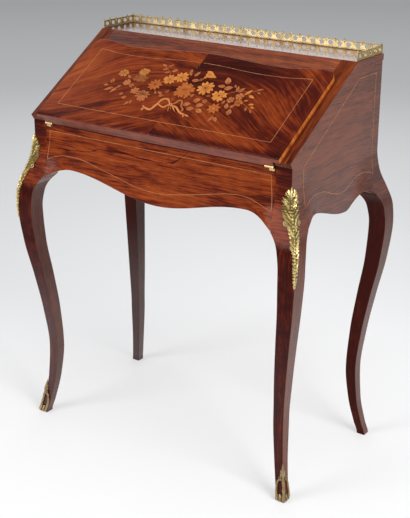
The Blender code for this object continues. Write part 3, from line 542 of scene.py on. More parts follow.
# Slanted frame
# Two stiles and a top rail of rosewood, dovetailed on over the sides and posts. They stay as a border
# round the fall, their outer edges flush with the sides and their lower ends overhanging the apron.
FRAME_NOSE = 0.010
STILE_X = HALF_WIDTH - 0.038  # inner edge of a stile
RAIL_SHOWN = 0.0432  # width of the top rail in sight above the fall
LIP_LAP = 0.032  # how far the fall's lip laps the rail
CORE_TOP_GAP = 0.0035
SOFT = 0.0012  # rounding of the frame's edges
BORDER_TONES = (
    (0.18, (0.045, 0.0060, 0.0020)),
    (0.36, (0.125, 0.0210, 0.0050)),
    (0.50, (0.225, 0.0450, 0.0095)),
    (0.66, (0.330, 0.0780, 0.0165)),
    (0.85, (0.450, 0.1300, 0.0310)),
)


def on_slope(y, z):
    """Distances up the slope and out of it, for the grain."""
    return y * 0.85 + z * 0.53, z * 0.85 - y * 0.53


def stile_lay(x, y, z):
    """Grain that runs up the slope."""
    up, out = on_slope(y, z)
    return up, x, out


stile_rosewood = rosewood(
    "stile_rosewood", stile_lay, lambda x, y, z: between(x, 0.0, -0.3) * -0.05 - 0.11, BORDER_TONES
)
rail_rosewood = rosewood(
    "rail_rosewood",
    lambda x, y, z: (x, *on_slope(y, z)),
    lambda x, y, z: between(x, -0.25, 0.15) * 0.12 - 0.14,
    BORDER_TONES,
    sheen=0.45,
)


def soften(piece):
    """Rounds the edges that are marked on a piece."""
    bevel = piece.modifiers.new("soft_edges", "BEVEL")
    bevel.width = SOFT
    bevel.segments = 3
    bevel.limit_method = "WEIGHT"
    piece.modifiers.move(len(piece.modifiers) - 1, 0)


def slab(section, near, far, rounded=None, shown=()):
    """Board of one YZ section from one x to another. A test picks the edges to mark for rounding, and the
    ends that are shown take the second finish."""
    shape = bmesh.new()
    skin(shape, [[(x, y, z) for y, z in section] for x in (near, far)])
    marks = shape.edges.layers.float.new("bevel_weight_edge")
    for edge in shape.edges:
        start, end = (vert.co for vert in edge.verts)
        if rounded and rounded((start + end) / 2, abs(start.x - end.x) > 1e-6):
            edge[marks] = 1.0
    for face in shape.faces:
        face.material_index = any(abs(face.calc_center_median().x - x) < 1e-6 for x in shown)
    return finished(shape)


def frame_section(start):
    """Section of the frame from a distance up the slope to the flat top."""
    section = []
    for above in (-FRAME_THICK, 0.0):
        y = FRONT + start * math.cos(SLOPE) - above * math.sin(SLOPE)
        section.append((y, DESK_HEIGHT + FRONT_LIP + start * math.sin(SLOPE) + above * math.cos(SLOPE)))
    return [*section, (TOP_FRONT, TOP_HEIGHT), (TOP_FRONT, slope_height(TOP_FRONT, -FRAME_THICK))]


def on_show(middle, along_x):
    """True of a stile's edges on the nose, and of those that run up the face."""
    return middle.y < FRONT or (middle.z > slope_height(middle.y, -0.5 * FRAME_THICK) and not along_x)


for side_name, side in SIDES.items():
    outer = side * HALF_WIDTH
    mesh = slab(frame_section(-FRAME_NOSE), side * STILE_X, outer, on_show, [outer])
    finishes = [stile_rosewood, side_rosewood]
    soften(add_piece(f"stile_{side_name}", mesh, finishes, [f"slant_stile_{side_name}"]))


def carved(mesh, cutters, operation="DIFFERENCE"):
    """Mesh with hidden tools cut from it, or joined to it."""
    work = in_room("work", mesh)
    tools = [in_room("tool", cutter) for cutter in cutters]
    for tool in tools:
        cut = work.modifiers.new("cut", "BOOLEAN")
        cut.operation = operation
        cut.object = tool
        cut.solver = "EXACT"
    graph = bpy.context.evaluated_depsgraph_get()
    made = bpy.data.meshes.new_from_object(work.evaluated_get(graph))
    for thing in [work, *tools]:
        bpy.data.objects.remove(thing)
    return made


def block(low, high, place):
    """Box between two corners, as a tool or the start of a piece."""
    shape = bmesh.new()
    size = [b - a for a, b in zip(low, high)]
    middle = [(a + b) / 2 for a, b in zip(low, high)]
    bmesh.ops.create_cube(shape, size=1.0, matrix=Matrix.Translation(middle) @ Matrix.Diagonal((*size, 1.0)))
    bmesh.ops.transform(shape, matrix=place, verts=shape.verts)
    mesh = bpy.data.meshes.new("block")
    shape.to_mesh(mesh)
    shape.free()
    return mesh


AXIS_DOWN = (FRONT - HINGE_Y) * math.cos(SLOPE) + FRONT_LIP * math.sin(SLOPE)
SLOPE_LENGTH = (DEPTH - TOP_DEPTH) / math.cos(SLOPE)
FALL_LENGTH = SLOPE_LENGTH - RAIL_SHOWN + AXIS_DOWN
CORE_LENGTH = FALL_LENGTH - LIP_LAP
IN_FALL = Matrix.Translation((0.0, HINGE_Y, DESK_HEIGHT)) @ Matrix.Rotation(SLOPE, 4, "X")
STRIKE_FROM = CORE_LENGTH + CORE_TOP_GAP
STRIKE_CUT_FROM = STRIKE_FROM - 0.003  # the tools start clear of the rail
BOLT_Z = 0.0053
STRIKE_CUTS = (  # half width, depth and half height of the bolt's mortise and of the plate's seat
    (0.0076, 0.0095, 0.0031),
    (0.0153, 0.0018, 0.0049),
)
cuts = []
for half, deep, half_high in STRIKE_CUTS:
    low = (-half, STRIKE_CUT_FROM, BOLT_Z - half_high)
    cuts.append(block(low, (half, STRIKE_FROM + deep, BOLT_Z + half_high), IN_FALL))
rail_mesh = carved(slab(frame_section(STRIKE_FROM - AXIS_DOWN), -STILE_X, STILE_X), cuts)
add_piece("top_rail", rail_mesh, [rail_rosewood], ["slant_top_rail"])


# Flat top
# One rosewood board glued down on the posts, the sides and the frame. It is polished like a mirror, and
# its front edge is where the slope begins.
top_rosewood = rosewood(
    "top_rosewood", lambda x, y, z: (x, y, z), lambda x, y, z: x * 0.1 - 0.16, gloss=0.18, sheen=0.5
)
section = [(TOP_FRONT, TOP_UNDER), (BACK, TOP_UNDER), (BACK, TOP_HEIGHT), (TOP_FRONT, TOP_HEIGHT)]
ends = [-HALF_WIDTH, HALF_WIDTH]
mesh = slab(section, *ends, lambda middle, along_x: middle.y > TOP_FRONT + 0.001, ends)
soften(add_piece("flat_top", mesh, [top_rosewood, side_rosewood], ["top_board"]))


# Carcass boards
# Plain oak: the back panel, the desk board and bottom board on their bearers, the two walls of the well
# and its sliding lid. They are planed, butted and glued, and left unpolished where the desk hides them.
OAK_TONES = (
    (0.25, (0.178, 0.078, 0.025)),
    (0.45, (0.325, 0.164, 0.058)),
    (0.60, (0.435, 0.236, 0.090)),
    (0.80, (0.530, 0.312, 0.132)),
)
OAK_PORE = (0.11, 0.055, 0.022)


def oak(name, lay, shift=0.0):
    """Dry oak: open grain in long lines, a few darker bands, and short flecks across."""
    finish, axes = new_finish(name)
    straight = along, across, through = lay(*axes)
    wavy = along, across + grain(straight, 4.0, 7.0) * 0.03, through
    bands, lines = grain(wavy, 2.0, 45.0, 3.0), grain(wavy, 12.0, 380.0)
    level = bands * 0.7 + lines * 0.55 + (0.5 + shift)
    pore = between(grain(straight, 180.0, 1500.0, 1.0), 0.08, 0.20)
    colour = blend(level.ramp(OAK_TONES), OAK_PORE, pore * 0.6)
    open_grain = (1.0 - pore).bump(0.25, 0.0004)
    return coat(finish, Base_Color=colour, Roughness=lines * 0.2 + 0.52, Normal=open_grain)


def dress(names, finish, edge=0.0006):
    """Gives pieces of the frame their finish, and takes the sharpness off their edges."""
    for name in names:
        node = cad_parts[name]
        for place in node.material_slots:
            place.material = finish
        node.modifiers.new("one_skin", "WELD").merge_threshold = 1e-5
        bevel = node.modifiers.new("eased_edges", "BEVEL")
        bevel.width = edge
        bevel.segments = 2
        bevel.limit_method = "ANGLE"
        bevel.angle_limit = math.radians(50.0)
        node.modifiers.new("even_shading", "WEIGHTED_NORMAL").keep_sharp = True


oak_across = oak("oak_across", lambda x, y, z: (x, y, z))
oak_back_to_front = oak("oak_back_to_front", lambda x, y, z: (y, x, z))
oak_upright = oak("oak_upright", lambda x, y, z: (z, x, y), -0.06)
dress(["desk_board", "bottom_board", "well_lid"], oak_across)
for name in ("desk_bearer", "bottom_bearer", "well_wall"):
    dress([f"{name}_{side_name}" for side_name in SIDES], oak_back_to_front)
dress(["back_panel"], oak_upright)


# Fall
# The writing flap: a clamped oak panel with a rosewood lip that laps the slanted frame. The veneers are
# two leaves opened like a book about the middle, and the rounded edge is banded in lighter wood.
FALL_HALF = HALF_WIDTH - 0.022
FALL_CORNER = 0.0255
FALL_DIP = 0.0108
FALL_DIP_AT = 0.195
FRAME_FACE = FRONT_LIP * math.cos(SLOPE) - (FRONT - HINGE_Y) * math.sin(SLOPE)
LIP_FROM = FRAME_FACE + 0.0003
FALL_THICK = FRAME_FACE + 0.012
CORE_GAP = 0.0015  # between the panel and the stiles
CORE_HALF = STILE_X - CORE_GAP
LOCK_HALF = 0.022
LOCK_LONG = 0.034
LOCK_DEEP = 0.010
LEATHER_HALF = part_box("writing_leather")[1].x
LEATHER_FROM = 0.030
LEATHER_TO = CORE_LENGTH - LOCK_LONG - 0.0265
LEATHER_DEEP = 0.0015
LET_IN = 0.0003  # room round a piece that is let in
TOOL_PAST = 0.010  # how far a cutting tool runs past a face
KNUCKLE_ROOM = 0.0035
LEAF_LONG = 0.0163
ROUND_EDGE = 0.0055
ROUND_STEPS = 7
KEY_UP = CORE_LENGTH - 0.0145
KEY_RADIUS = 0.0020
KEY_SLOT = 0.0011  # half the width of the keyhole's slot
KEY_DROP = 0.0065
KEY_RIM = 0.0014
KEY_RIM_DEEP = 0.0033
KEY_CUT = (0.009, 0.040)  # depths between which the keyhole is cut


def fall_edge(x):
    """Upper edge of the fall: level at the middle and shoulders, hollow between."""
    off = abs(x)
    if off < FALL_DIP_AT:
        return FALL_LENGTH - FALL_DIP * (1 - fade(off, FALL_DIP_AT))
    return FALL_LENGTH - FALL_DIP * fade(off - FALL_DIP_AT, FALL_HALF - FALL_CORNER - FALL_DIP_AT)


def arc(centre, radius, start, end, steps):
    """Points of a round stretch, angles in degrees."""
    turns = [math.radians(angle) for angle in spread(start, end, steps)]
    return [(centre[0] + radius * math.cos(a), centre[1] + radius * math.sin(a)) for a in turns]


def drawn_in(outline, by):
    """Closed outline moved inwards, square to its edges; it runs anticlockwise."""
    moved = []
    for i, point in enumerate(outline):
        here = Vector(point)
        before = (here - Vector(outline[i - 1])).normalized()
        after = (Vector(outline[(i + 1) % len(outline)]) - here).normalized()
        left = Vector((-before.y, before.x)) + Vector((-after.y, after.x))
        left.normalize()
        square = max(left.dot(Vector((-before.y, before.x))), 0.3)  # keeps a tight corner from running far
        moved.append(here + left * (by / square))
    return moved


def in_fall(x, up, out):
    """Point in the room from the fall's own distances: across, up from the hinge axis, out of the back."""
    return IN_FALL @ Vector((x, up, out))


shoulder = FALL_HALF - FALL_CORNER
corner_up = FALL_LENGTH - FALL_CORNER
outline = [(x, 0.0) for x in spread(-FALL_HALF, FALL_HALF, 24)]
outline += [(FALL_HALF, up) for up in spread(0.0, corner_up, 12)[1:-1]]
outline += arc((shoulder, corner_up), FALL_CORNER, 0, 90, 14)
outline += [(x, fall_edge(x)) for x in spread(shoulder, -shoulder, 80)[1:-1]]
outline += arc((-shoulder, corner_up), FALL_CORNER, 90, 180, 14)
outline += [(-FALL_HALF, up) for up in spread(corner_up, 0.0, 12)[1:-1]]
rings = [[in_fall(x, up, LIP_FROM) for x, up in outline]]
for turn in spread(0.0, math.pi / 2, ROUND_STEPS):
    inner = drawn_in(outline, ROUND_EDGE * (1 - math.cos(turn)))
    rings.append([in_fall(p.x, p.y, FALL_THICK - ROUND_EDGE * (1 - math.sin(turn))) for p in inner])
lip_deep = FALL_THICK - LIP_FROM
core = block((-CORE_HALF, 0.0, 0.0), (CORE_HALF, CORE_LENGTH, FALL_THICK - lip_deep / 2), IN_FALL)
lip_mesh = carved(lofted(rings), [core], "UNION")


def prism(outline, near, far):
    """Tool or plate of a flat outline in the fall, from one depth to another."""
    return lofted([[in_fall(x, up, out) for x, up in outline] for out in (near, far)])


def keyhole(rim):
    """Outline of the keyhole, a rim wider all round."""
    radius = KEY_RADIUS + rim
    half = KEY_SLOT + rim
    meets = math.degrees(math.acos(half / radius))
    foot = KEY_UP - KEY_DROP - rim
    return [(-half, foot), (half, foot), *arc((0.0, KEY_UP), radius, -meets, 180 + meets, 18)]


lock_from = CORE_LENGTH - LET_IN - LOCK_LONG
leather_low = (-LEATHER_HALF - LET_IN, LEATHER_FROM - LET_IN, -LEATHER_DEEP)
leather_high = (LEATHER_HALF + LET_IN, LEATHER_TO + LET_IN, LEATHER_DEEP)
lock_low = (-LOCK_HALF - LET_IN, lock_from - LET_IN, -TOOL_PAST)
lock_high = (LOCK_HALF + LET_IN, CORE_LENGTH + TOOL_PAST, LOCK_DEEP + LET_IN)
tools = [
    block(leather_low, leather_high, IN_FALL),
    block(lock_low, lock_high, IN_FALL),
    prism(keyhole(0.0), *KEY_CUT),
    prism(keyhole(KEY_RIM), FALL_THICK - KEY_RIM_DEEP, FALL_THICK + TOOL_PAST),
]
for side in SIDES.values():
    inner, outer = side * (HINGE_X - LEAF_SEAT), side * (CORE_HALF + CORE_GAP)
    notch = arc((0.0, 0.0), KNUCKLE_ROOM, 0, 345, 23)  # round the hinge axis
    tools.append(lofted([[in_fall(x, y, z) for y, z in notch] for x in (inner - side * CORE_GAP, outer)]))
    near, far = sorted((inner, outer))
    tools.append(block((near, -LEAF_DROP, -LEAF_DROP), (far, LEAF_LONG, LEAF_DROP), IN_FALL))
fall_mesh = smoothed(carved(lip_mesh, tools), 30.0)


def fall_lay(y, z):
    """Distances up the fall and out of its back, from the room's Y and Z."""
    up = (y - HINGE_Y) * math.cos(SLOPE) + (z - DESK_HEIGHT) * math.sin(SLOPE)
    return up, (z - DESK_HEIGHT) * math.cos(SLOPE) - (y - HINGE_Y) * math.sin(SLOPE)


def book_matched(x, y, z):
    """Grain of the two leaves: it falls from the middle to both sides, and arches over in the upper part."""
    up, out = fall_lay(y, z)
    off = abs(x)
    wander = cloud(off * 5.0, up * 5.0, 3.0, 2.0) - 0.5
    arched = between(up, 0.050, 0.270) * 0.8
    fallen = (1.0 - arched) * off * 0.42
    across = up * (0.8 + off * 0.9) + fallen + arched * (off - 0.235) * (off - 0.235) * 2.0 + wander * 0.022
    leaf_apart = x.math("SIGN", x) * 0.35
    return off * 0.9 - up * 0.35, across, out * 0.2 + leaf_apart


def leaf_tone(x, y, z):
    """The right leaf turns its dark side up, the left is smoky, and both are worn darker along the foot."""
    up = fall_lay(y, z)[0]
    right = between(x, -0.0006, 0.0006)
    left = 1.0 - right
    dark_top = right * between(up, 0.125, 0.185) * between(x, 0.30, 0.10) * 0.20
    dark_heart = right * between(x, 0.10, 0.02) * between(up, 0.125, 0.060) * 0.05
    along, across, _ = book_matched(x, y, z)
    smoke = left * between(cloud(along * 5.0, across * 30.0, 5.0, 3.0), 0.50, 0.66)
    left_top = left * between(up, 0.14, 0.23) * 0.02
    edge = between(x, -0.20, -0.29) * 0.06 - between(x, 0.270, 0.290) * 0.09
    worn_foot = between(up, 0.024, 0.006) * (right * 0.13 + 0.06)
    return edge - worn_foot - smoke * 0.12 - left_top - dark_top - dark_heart - right * 0.035 - 0.02


fall_veneer = rosewood("fall_veneer", book_matched, leaf_tone, figure=(0.58, 0.34, 0.50))
BAND_TONES = (
    (0.18, (0.100, 0.0160, 0.0040)),
    (0.36, (0.300, 0.0650, 0.0120)),
    (0.52, (0.520, 0.1400, 0.0270)),
    (0.80, (0.660, 0.2300, 0.0520)),
)
edge_band = rosewood(
    "fall_edge_band",
    lambda x, y, z: (*on_slope(y, z)[::-1], x),
    lambda x, y, z: between(abs(x), 0.27, 0.305) * 0.22 - 0.22,
    BAND_TONES,
    figure=(0.55, 0.70, 0.30),
)
fall_inside = rosewood(
    "fall_inside",
    lambda x, y, z: (x, *on_slope(y, z)),
    lambda x, y, z: between(x, -0.3, 0.3) * 0.06 - 0.06,
)
fall_foot = rosewood(
    "fall_foot",
    lambda x, y, z: (x, z, y),
    lambda x, y, z: x * 0.1 - 0.05,
    figure=(0.20, 0.30, 0.30),
    sheen=0.40,
)
into_fall = IN_FALL.inverted()
for polygon in fall_mesh.polygons:
    middle = into_fall @ polygon.center
    facing = (into_fall.to_3x3() @ polygon.normal).z
    at_foot = middle.y < ROUND_EDGE and abs(middle.x) < FALL_HALF - 0.0005
    if facing > 0.50 and middle.z > FRAME_FACE:
        polygon.material_index = 0
    elif middle.z > LIP_FROM - 0.0001 and not at_foot:
        polygon.material_index = 1
    else:
        polygon.material_index = 3 if at_foot and middle.z > 0.001 else 2
add_piece("fall", fall_mesh, [fall_veneer, edge_band, fall_inside, fall_foot], ["fall_panel"], "fall")


# String inlay
# Lines of boxwood a millimetre wide, let into scratched grooves in the veneer of the apron, the sides and
# the fall, and scraped flush with it.
STRING_WIDTH = 0.0010
STRING_PROUD = 0.00010
STRING_DEEP = 0.0004


def headings(path):
    """Each point of a path, with the way from the point before it to the point after."""
    ends = [path[0], *path, path[-1]]
    return [(point, after - before) for before, point, after in zip(ends, path, ends[2:])]


def string(path, out, width=STRING_WIDTH, proud=STRING_PROUD):
    """Rings of one run of string along points on a face; out is the way out of that face."""
    rings = []
    for point, ahead in headings(path):
        beside = out.cross(ahead).normalized() * (width / 2)
        top, foot = point + out * proud, point - out * STRING_DEEP
        rings.append([top - beside, top + beside, foot + beside, foot - beside])
    return rings


def stepped(points, step=0.008):
    """Points set out again along straight runs, close together."""
    path = [Vector(points[0])]
    for start, end in zip(points, points[1:]):
        gap = (Vector(end) - Vector(start)).length
        steps = max(1, round(gap / step))
        path += [Vector(start).lerp(Vector(end), k / steps) for k in range(1, steps + 1)]
    return path


def boxwood(name, light, dark):
    """Close pale wood with a faint line and a warm polish."""
    finish, (x, y, z) = new_finish(name)
    grain = cloud(x * 60.0, y * 60.0, z * 60.0, 3.0)
    line = cloud(x * 500.0, y * 90.0, z * 500.0, 2.0)
    colour = blend(dark, light, between(grain * 0.6 + line * 0.4, 0.35, 0.62))
    return coat(finish, Base_Color=colour, Roughness=grain * 0.15 + 0.2, Specular_IOR_Level=0.15)


string_boxwood = boxwood("string_boxwood", (0.50, 0.215, 0.085), (0.33, 0.120, 0.042))
FRONT_OUT = Vector((0.0, -1.0, 0.0))
FRONT_STRING_LOW = (  # place across, height
    (-0.303, 0.648), (-0.280, 0.657), (-0.253, 0.663), (-0.223, 0.664), (-0.194, 0.661), (-0.163, 0.654),
    (-0.120, 0.644), (-0.079, 0.634), (-0.037, 0.626), (0.003, 0.624), (0.043, 0.628), (0.082, 0.635),
    (0.121, 0.643), (0.158, 0.651), (0.195, 0.658), (0.220, 0.660), (0.246, 0.657), (0.270, 0.651),
    (0.303, 0.643),
)
LOW_END = 0.2985
TOP_END = 0.2925
FRONT_STRING_TOP = 0.715
paths = [[(x, smooth(FRONT_STRING_LOW, x)) for x in spread(-LOW_END, LOW_END, 110)]]
paths.append([(x, FRONT_STRING_TOP) for x in spread(-TOP_END, TOP_END, 90)])
for side in SIDES.values():
    foot = smooth(FRONT_STRING_LOW, side * LOW_END)
    lean = ((foot, LOW_END), (FRONT_STRING_TOP, TOP_END))
    paths.append([(side * smooth(lean, z), z) for z in spread(foot, FRONT_STRING_TOP, 14)])
runs = [string([front_face(x, z) for x, z in path], FRONT_OUT) for path in paths]
add_piece("apron_string", lofted(*runs), [string_boxwood])

SIDE_STRING_LOW = (  # place from front to back, height
    (-0.1315, 0.648), (-0.110, 0.656), (-0.091, 0.660), (-0.056, 0.659), (-0.014, 0.645), (0.021, 0.637),
    (0.044, 0.639), (0.079, 0.655), (0.109, 0.661), (0.140, 0.655), (0.152, 0.650),
)
SIDE_STRING_ENDS = (-0.1315, 0.1520)
SIDE_STRING_ROUND = [(-0.1315, 0.648), (-0.1330, 0.729), (0.0780, 0.8675), (0.1520, 0.8690), (0.1520, 0.650)]
for side_name, side in SIDES.items():
    side_out = Vector((side, 0.0, 0.0))
    paths = [[(y, smooth(SIDE_STRING_LOW, y)) for y in spread(*SIDE_STRING_ENDS, 70)]]
    paths += [stepped(ends) for ends in zip(SIDE_STRING_ROUND, SIDE_STRING_ROUND[1:])]
    runs = [string([side_face(side, y, z) for y, z in path], side_out) for path in paths]
    add_piece(f"side_string_{side_name}", lofted(*runs), [string_boxwood])

FALL_OUT = (IN_FALL.to_3x3() @ Vector((0.0, 0.0, 1.0))).normalized()
FALL_STRING_X = 0.279
FALL_STRING_FOOT = 0.0254 + AXIS_DOWN
FALL_STRING_TOP = (  # place off the middle, distance up the slope
    (0.0, 0.2105), (0.060, 0.2085), (0.120, 0.2035), (0.168, 0.2015), (0.215, 0.2025), (0.279, 0.2085),
)
KEYHOLE_GAP = 0.0036


def fall_string_top(x):
    return smooth(FALL_STRING_TOP, abs(x)) + AXIS_DOWN


top_run = [(x, fall_string_top(x)) for x in spread(-FALL_STRING_X, FALL_STRING_X, 100)]
paths = [[p for p in top_run if p[0] < -KEYHOLE_GAP], [p for p in top_run if p[0] > KEYHOLE_GAP]]
paths.append([(x, FALL_STRING_FOOT) for x in spread(-FALL_STRING_X, FALL_STRING_X, 60)])
for x in (-FALL_STRING_X, FALL_STRING_X):
    paths.append([(x, up) for up in spread(FALL_STRING_FOOT, fall_string_top(x), 24)])
runs = [string([in_fall(x, up, FALL_THICK) for x, up in path], FALL_OUT) for path in paths]
add_piece("fall_string", lofted(*runs), [string_boxwood], body="fall")


# Marquetry
# A loose bouquet tied with a ribbon, fret-sawn in box, satinwood and tulipwood and laid in the fall's
# veneer. The petals are scorched in hot sand at their roots to shade them.
INLAY_PROUD = 0.00006
INLAY_STEP = 0.000004  # each sliver lies a hair over the one before
INLAY_DEEP = 0.0004
bouquet = {}
laid = 0


def sliver(wood, outline, heart, scorch):
    """Lays one sawn piece in the fall: outline in the fall's face, and the root from which it is scorched."""
    global laid
    laid += 1
    if wood not in bouquet:
        bouquet[wood] = bmesh.new()
        bouquet[wood].verts.layers.float.new("scorch")
    shape = bouquet[wood]
    burnt = shape.verts.layers.float["scorch"]
    out = FALL_THICK + INLAY_PROUD + laid * INLAY_STEP
    heart = Vector(heart)
    rings = []
    for share in (0.35, 0.7, 1.0):
        rings.append([])
        for point in outline:
            at = heart.lerp(Vector(point), share)
            vert = shape.verts.new(in_fall(at.x, at.y, out))
            vert[burnt] = scorch * (1.0 - share) ** 1.4
            rings[-1].append(vert)
    rings.append([shape.verts.new(in_fall(x, up, FALL_THICK - INLAY_DEEP)) for x, up in outline])
    root = shape.verts.new(in_fall(heart.x, heart.y, out))
    root[burnt] = scorch
    count = len(outline)
    for i in range(count):
        j = (i + 1) % count
        shape.faces.new((root, rings[0][i], rings[0][j]))
        for inner, outer in zip(rings, rings[1:]):
            shape.faces.new((inner[i], outer[i], outer[j], inner[j]))
    shape.faces.new(rings[-1][::-1])


def on_fall(x, up):
    """Place in the fall's face from millimetres across and up the slope."""
    return x / 1000, up / 1000 + AXIS_DOWN


def turned(points, angle, x, up, squash=1.0):
    """Flat points turned, flattened up and down, and moved to a place on the fall."""
    c, s = math.cos(angle), math.sin(angle)
    return [(x + px * c - py * s, up + (px * s + py * c) * squash) for px, py in points]


def curved(points, steps=5):
    """More points on a smooth line through a few."""
    path = []
    last = len(points) - 1
    for i in range(last):
        p0, p1, p2, p3 = (Vector(points[min(max(i + k, 0), last)]) for k in (-1, 0, 1, 2))
        second, third = 2 * p0 - 5 * p1 + 4 * p2 - p3, 3 * p1 - p0 - 3 * p2 + p3
        for t in spread(0.0, 1.0, steps)[: steps + (i == last - 1)]:
            path.append(tuple(0.5 * (2 * p1 + (p2 - p0) * t + second * t**2 + third * t**3)))
    return path


def petal_outline(reach, half, notch):
    """One petal along +X: narrow at its root, wide past the middle, round or notched at its tip."""
    side_points = ((0.06, 0.0), (0.20, 0.30), (0.42, 0.72), (0.66, 1.0), (0.86, 0.90), (0.98, 0.50))
    upper = [(along * reach, across * half) for along, across in side_points]
    loop = [*upper, ((1.0 - notch) * reach, 0.0), *((px, -py) for px, py in reversed(upper[1:]))]
    return curved([*loop, loop[0]], 3)[:-1]


def pointed_outline(length, half, start=0.0):
    """Lens-shaped leaf or pointed petal along +X."""
    upper = [(start + length * t, half * math.sin(math.pi * t**0.85)) for t in spread(0.0, 1.0, 8)]
    return upper + [(px, -py) for px, py in upper[-2:0:-1]]


def flower(wood, x, up, size, petals, notch, turn, squash, core, fill=1.0):
    """Ring of petals round a small core; they are pointed where no notch is given."""
    x, up = on_fall(x, up)
    reach = size / 2000
    half = reach * 0.62 * math.sin(math.pi / petals) * fill
    for i in range(petals):
        angle = turn + 2 * math.pi * i / petals
        if notch is None:
            points = pointed_outline(reach * 0.94, half * 0.95, reach * 0.06)
        else:
            points = petal_outline(reach * (1.0 + 0.07 * math.sin(3.1 * i + turn * 7)), half, notch)
        root = turned([(reach * 0.15, 0.0)], angle, x, up, squash)[0]
        sliver(wood, turned(points, angle, x, up, squash), root, 0.75)
    if core:
        disc = arc((0.0, 0.0), reach * 0.17, 0, 330, 11)
        sliver(core, turned(disc, 0.0, x, up, squash), (x, up), 0.9)


def leaf(wood, x, up, length, width, degrees, rib=True):
    """One leaf by its middle, most with a mid rib sawn in."""
    x, up = on_fall(x, up)
    length, half, angle = length / 1000, width / 2000, math.radians(degrees)
    points = [(px - length / 2, py) for px, py in pointed_outline(length, half)]
    sliver(wood, turned(points, angle, x, up), turned([(-length * 0.42, 0.0)], angle, x, up)[0], 0.65)
    if rib:
        points = [(px - length * 0.42, py) for px, py in pointed_outline(length * 0.75, 0.00022)]
        sliver("dark", turned(points, angle, x, up), (x, up), 0.3)


def strip(wood, points, widths, scorch):
    """Sawn ribbon or stem along points, each with its width, cut in short lengths."""
    path = [Vector(on_fall(x, up)) for x, up in points]
    lefts, rights = [], []
    for (point, ahead), width in zip(headings(path), widths):
        beside = Vector((-ahead.y, ahead.x)).normalized() * (width / 2000)
        lefts.append(point + beside)
        rights.append(point - beside)
    for i in range(len(path) - 1):
        quad = (rights[i], rights[i + 1], lefts[i + 1], lefts[i])
        sliver(wood, quad, (path[i] + path[i + 1]) / 2, scorch)


STEMS = (  # wood, width, and points along each; they go down first
    ("dark", 0.8, ((-2, 80), (-14, 100), (-30, 122), (-45, 147))),
    ("dark", 0.8, ((-2, 80), (-40, 96), (-90, 118), (-121, 150))),
    ("dark", 0.8, ((-30, 96), (-80, 98), (-140, 108), (-184, 117))),
    ("dark", 0.8, ((-2, 80), (4, 100), (9, 123))),
    ("dark", 0.8, ((0, 82), (24, 108), (55, 138))),
    ("dark", 0.8, ((10, 90), (60, 104), (98, 123), (146, 130))),
    ("dark", 0.8, ((14, 84), (70, 84), (107, 86), (146, 84))),
    ("dark", 0.8, ((20, 100), (34, 140), (46, 178))),
    ("pink", 0.7, ((98, 123), (128, 142), (159, 148), (184, 157))),
    ("pink", 0.7, ((140, 122), (170, 110), (192, 96))),
    ("pink", 0.7, ((-45, 150), (-58, 168), (-80, 184))),
    ("pink", 0.7, ((107, 86), (116, 68), (122, 57))),
)
LEAVES = (  # wood, place across and up, length, width, turn
    ("pink", -180, 93, 22, 8, 215), ("pink", -165, 91, 20, 8, 245), ("pink", -158, 104, 13, 6, 230),
    ("pink", -194, 103, 13, 6, 190), ("pink", -108, 60, 15, 6, 245), ("pink", -100, 66, 12, 5, 285),
    ("orange", -125, 75, 14, 9, 200), ("pink", -138, 84, 11, 6, 220), ("pink", -150, 137, 14, 6, 150),
    ("pink", -84, 186, 15, 6, 160), ("pink", -75, 175, 15, 6, 200), ("pink", -49, 175, 16, 8, 25),
    ("pink", -65, 167, 14, 6, 205), ("pink", -67, 188, 13, 5, 40), ("pink", -8, 180, 15, 7, 110),
    ("pink", 11, 175, 17, 8, 65), ("pink", 18, 156, 19, 9, 10), ("pink", -5, 172, 12, 5, 150),
    ("pink", 94, 169, 22, 14, 120), ("pink", 88, 151, 19, 9, 185), ("pink", 107, 149, 20, 12, 25),
    ("pink", 129, 151, 17, 7, 100), ("pink", 140, 149, 18, 8, 60), ("pink", 120, 157, 11, 5, 130),
    ("yellow", 159, 145, 20, 7, 55), ("yellow", 172, 135, 18, 7, -20), ("pink", 181, 158, 14, 4, 25),
    ("pink", 183, 148, 11, 4, -20), ("yellow", 183, 114, 12, 5, 15), ("yellow", 190, 106, 11, 5, -15),
    ("pink", 192, 95, 12, 4, -50), ("pink", 178, 99, 12, 5, -70), ("pink", 146, 84, 17, 12, 100),
    ("pink", 131, 99, 17, 9, 110), ("pink", 144, 101, 13, 6, 60), ("pink", 55, 101, 17, 12, 35),
    ("pink", 38, 86, 18, 11, 25), ("pink", 75, 101, 12, 8, 40), ("pink", 69, 89, 18, 11, 20),
    ("pink", 53, 75, 18, 11, 15), ("pink", 77, 73, 19, 12, -20), ("pink", -45, 104, 15, 6, 150),
    ("pink", -38, 97, 13, 6, 200), ("pink", 116, 57, 17, 6, 255), ("pink", 127, 58, 17, 8, 310),
    ("pink", 22, 104, 9, 5, 45), ("pink", -57, 104, 10, 5, 120), ("pink", 36, 112, 10, 6, 70),
    ("pink", 166, 122, 10, 5, 20), ("pink", 118, 108, 11, 5, 70), ("brown", -30, 112, 13, 7, 60),
    ("brown", -58, 148, 12, 6, 170), ("brown", 30, 160, 13, 7, 40), ("brown", 74, 118, 12, 6, 10),
)
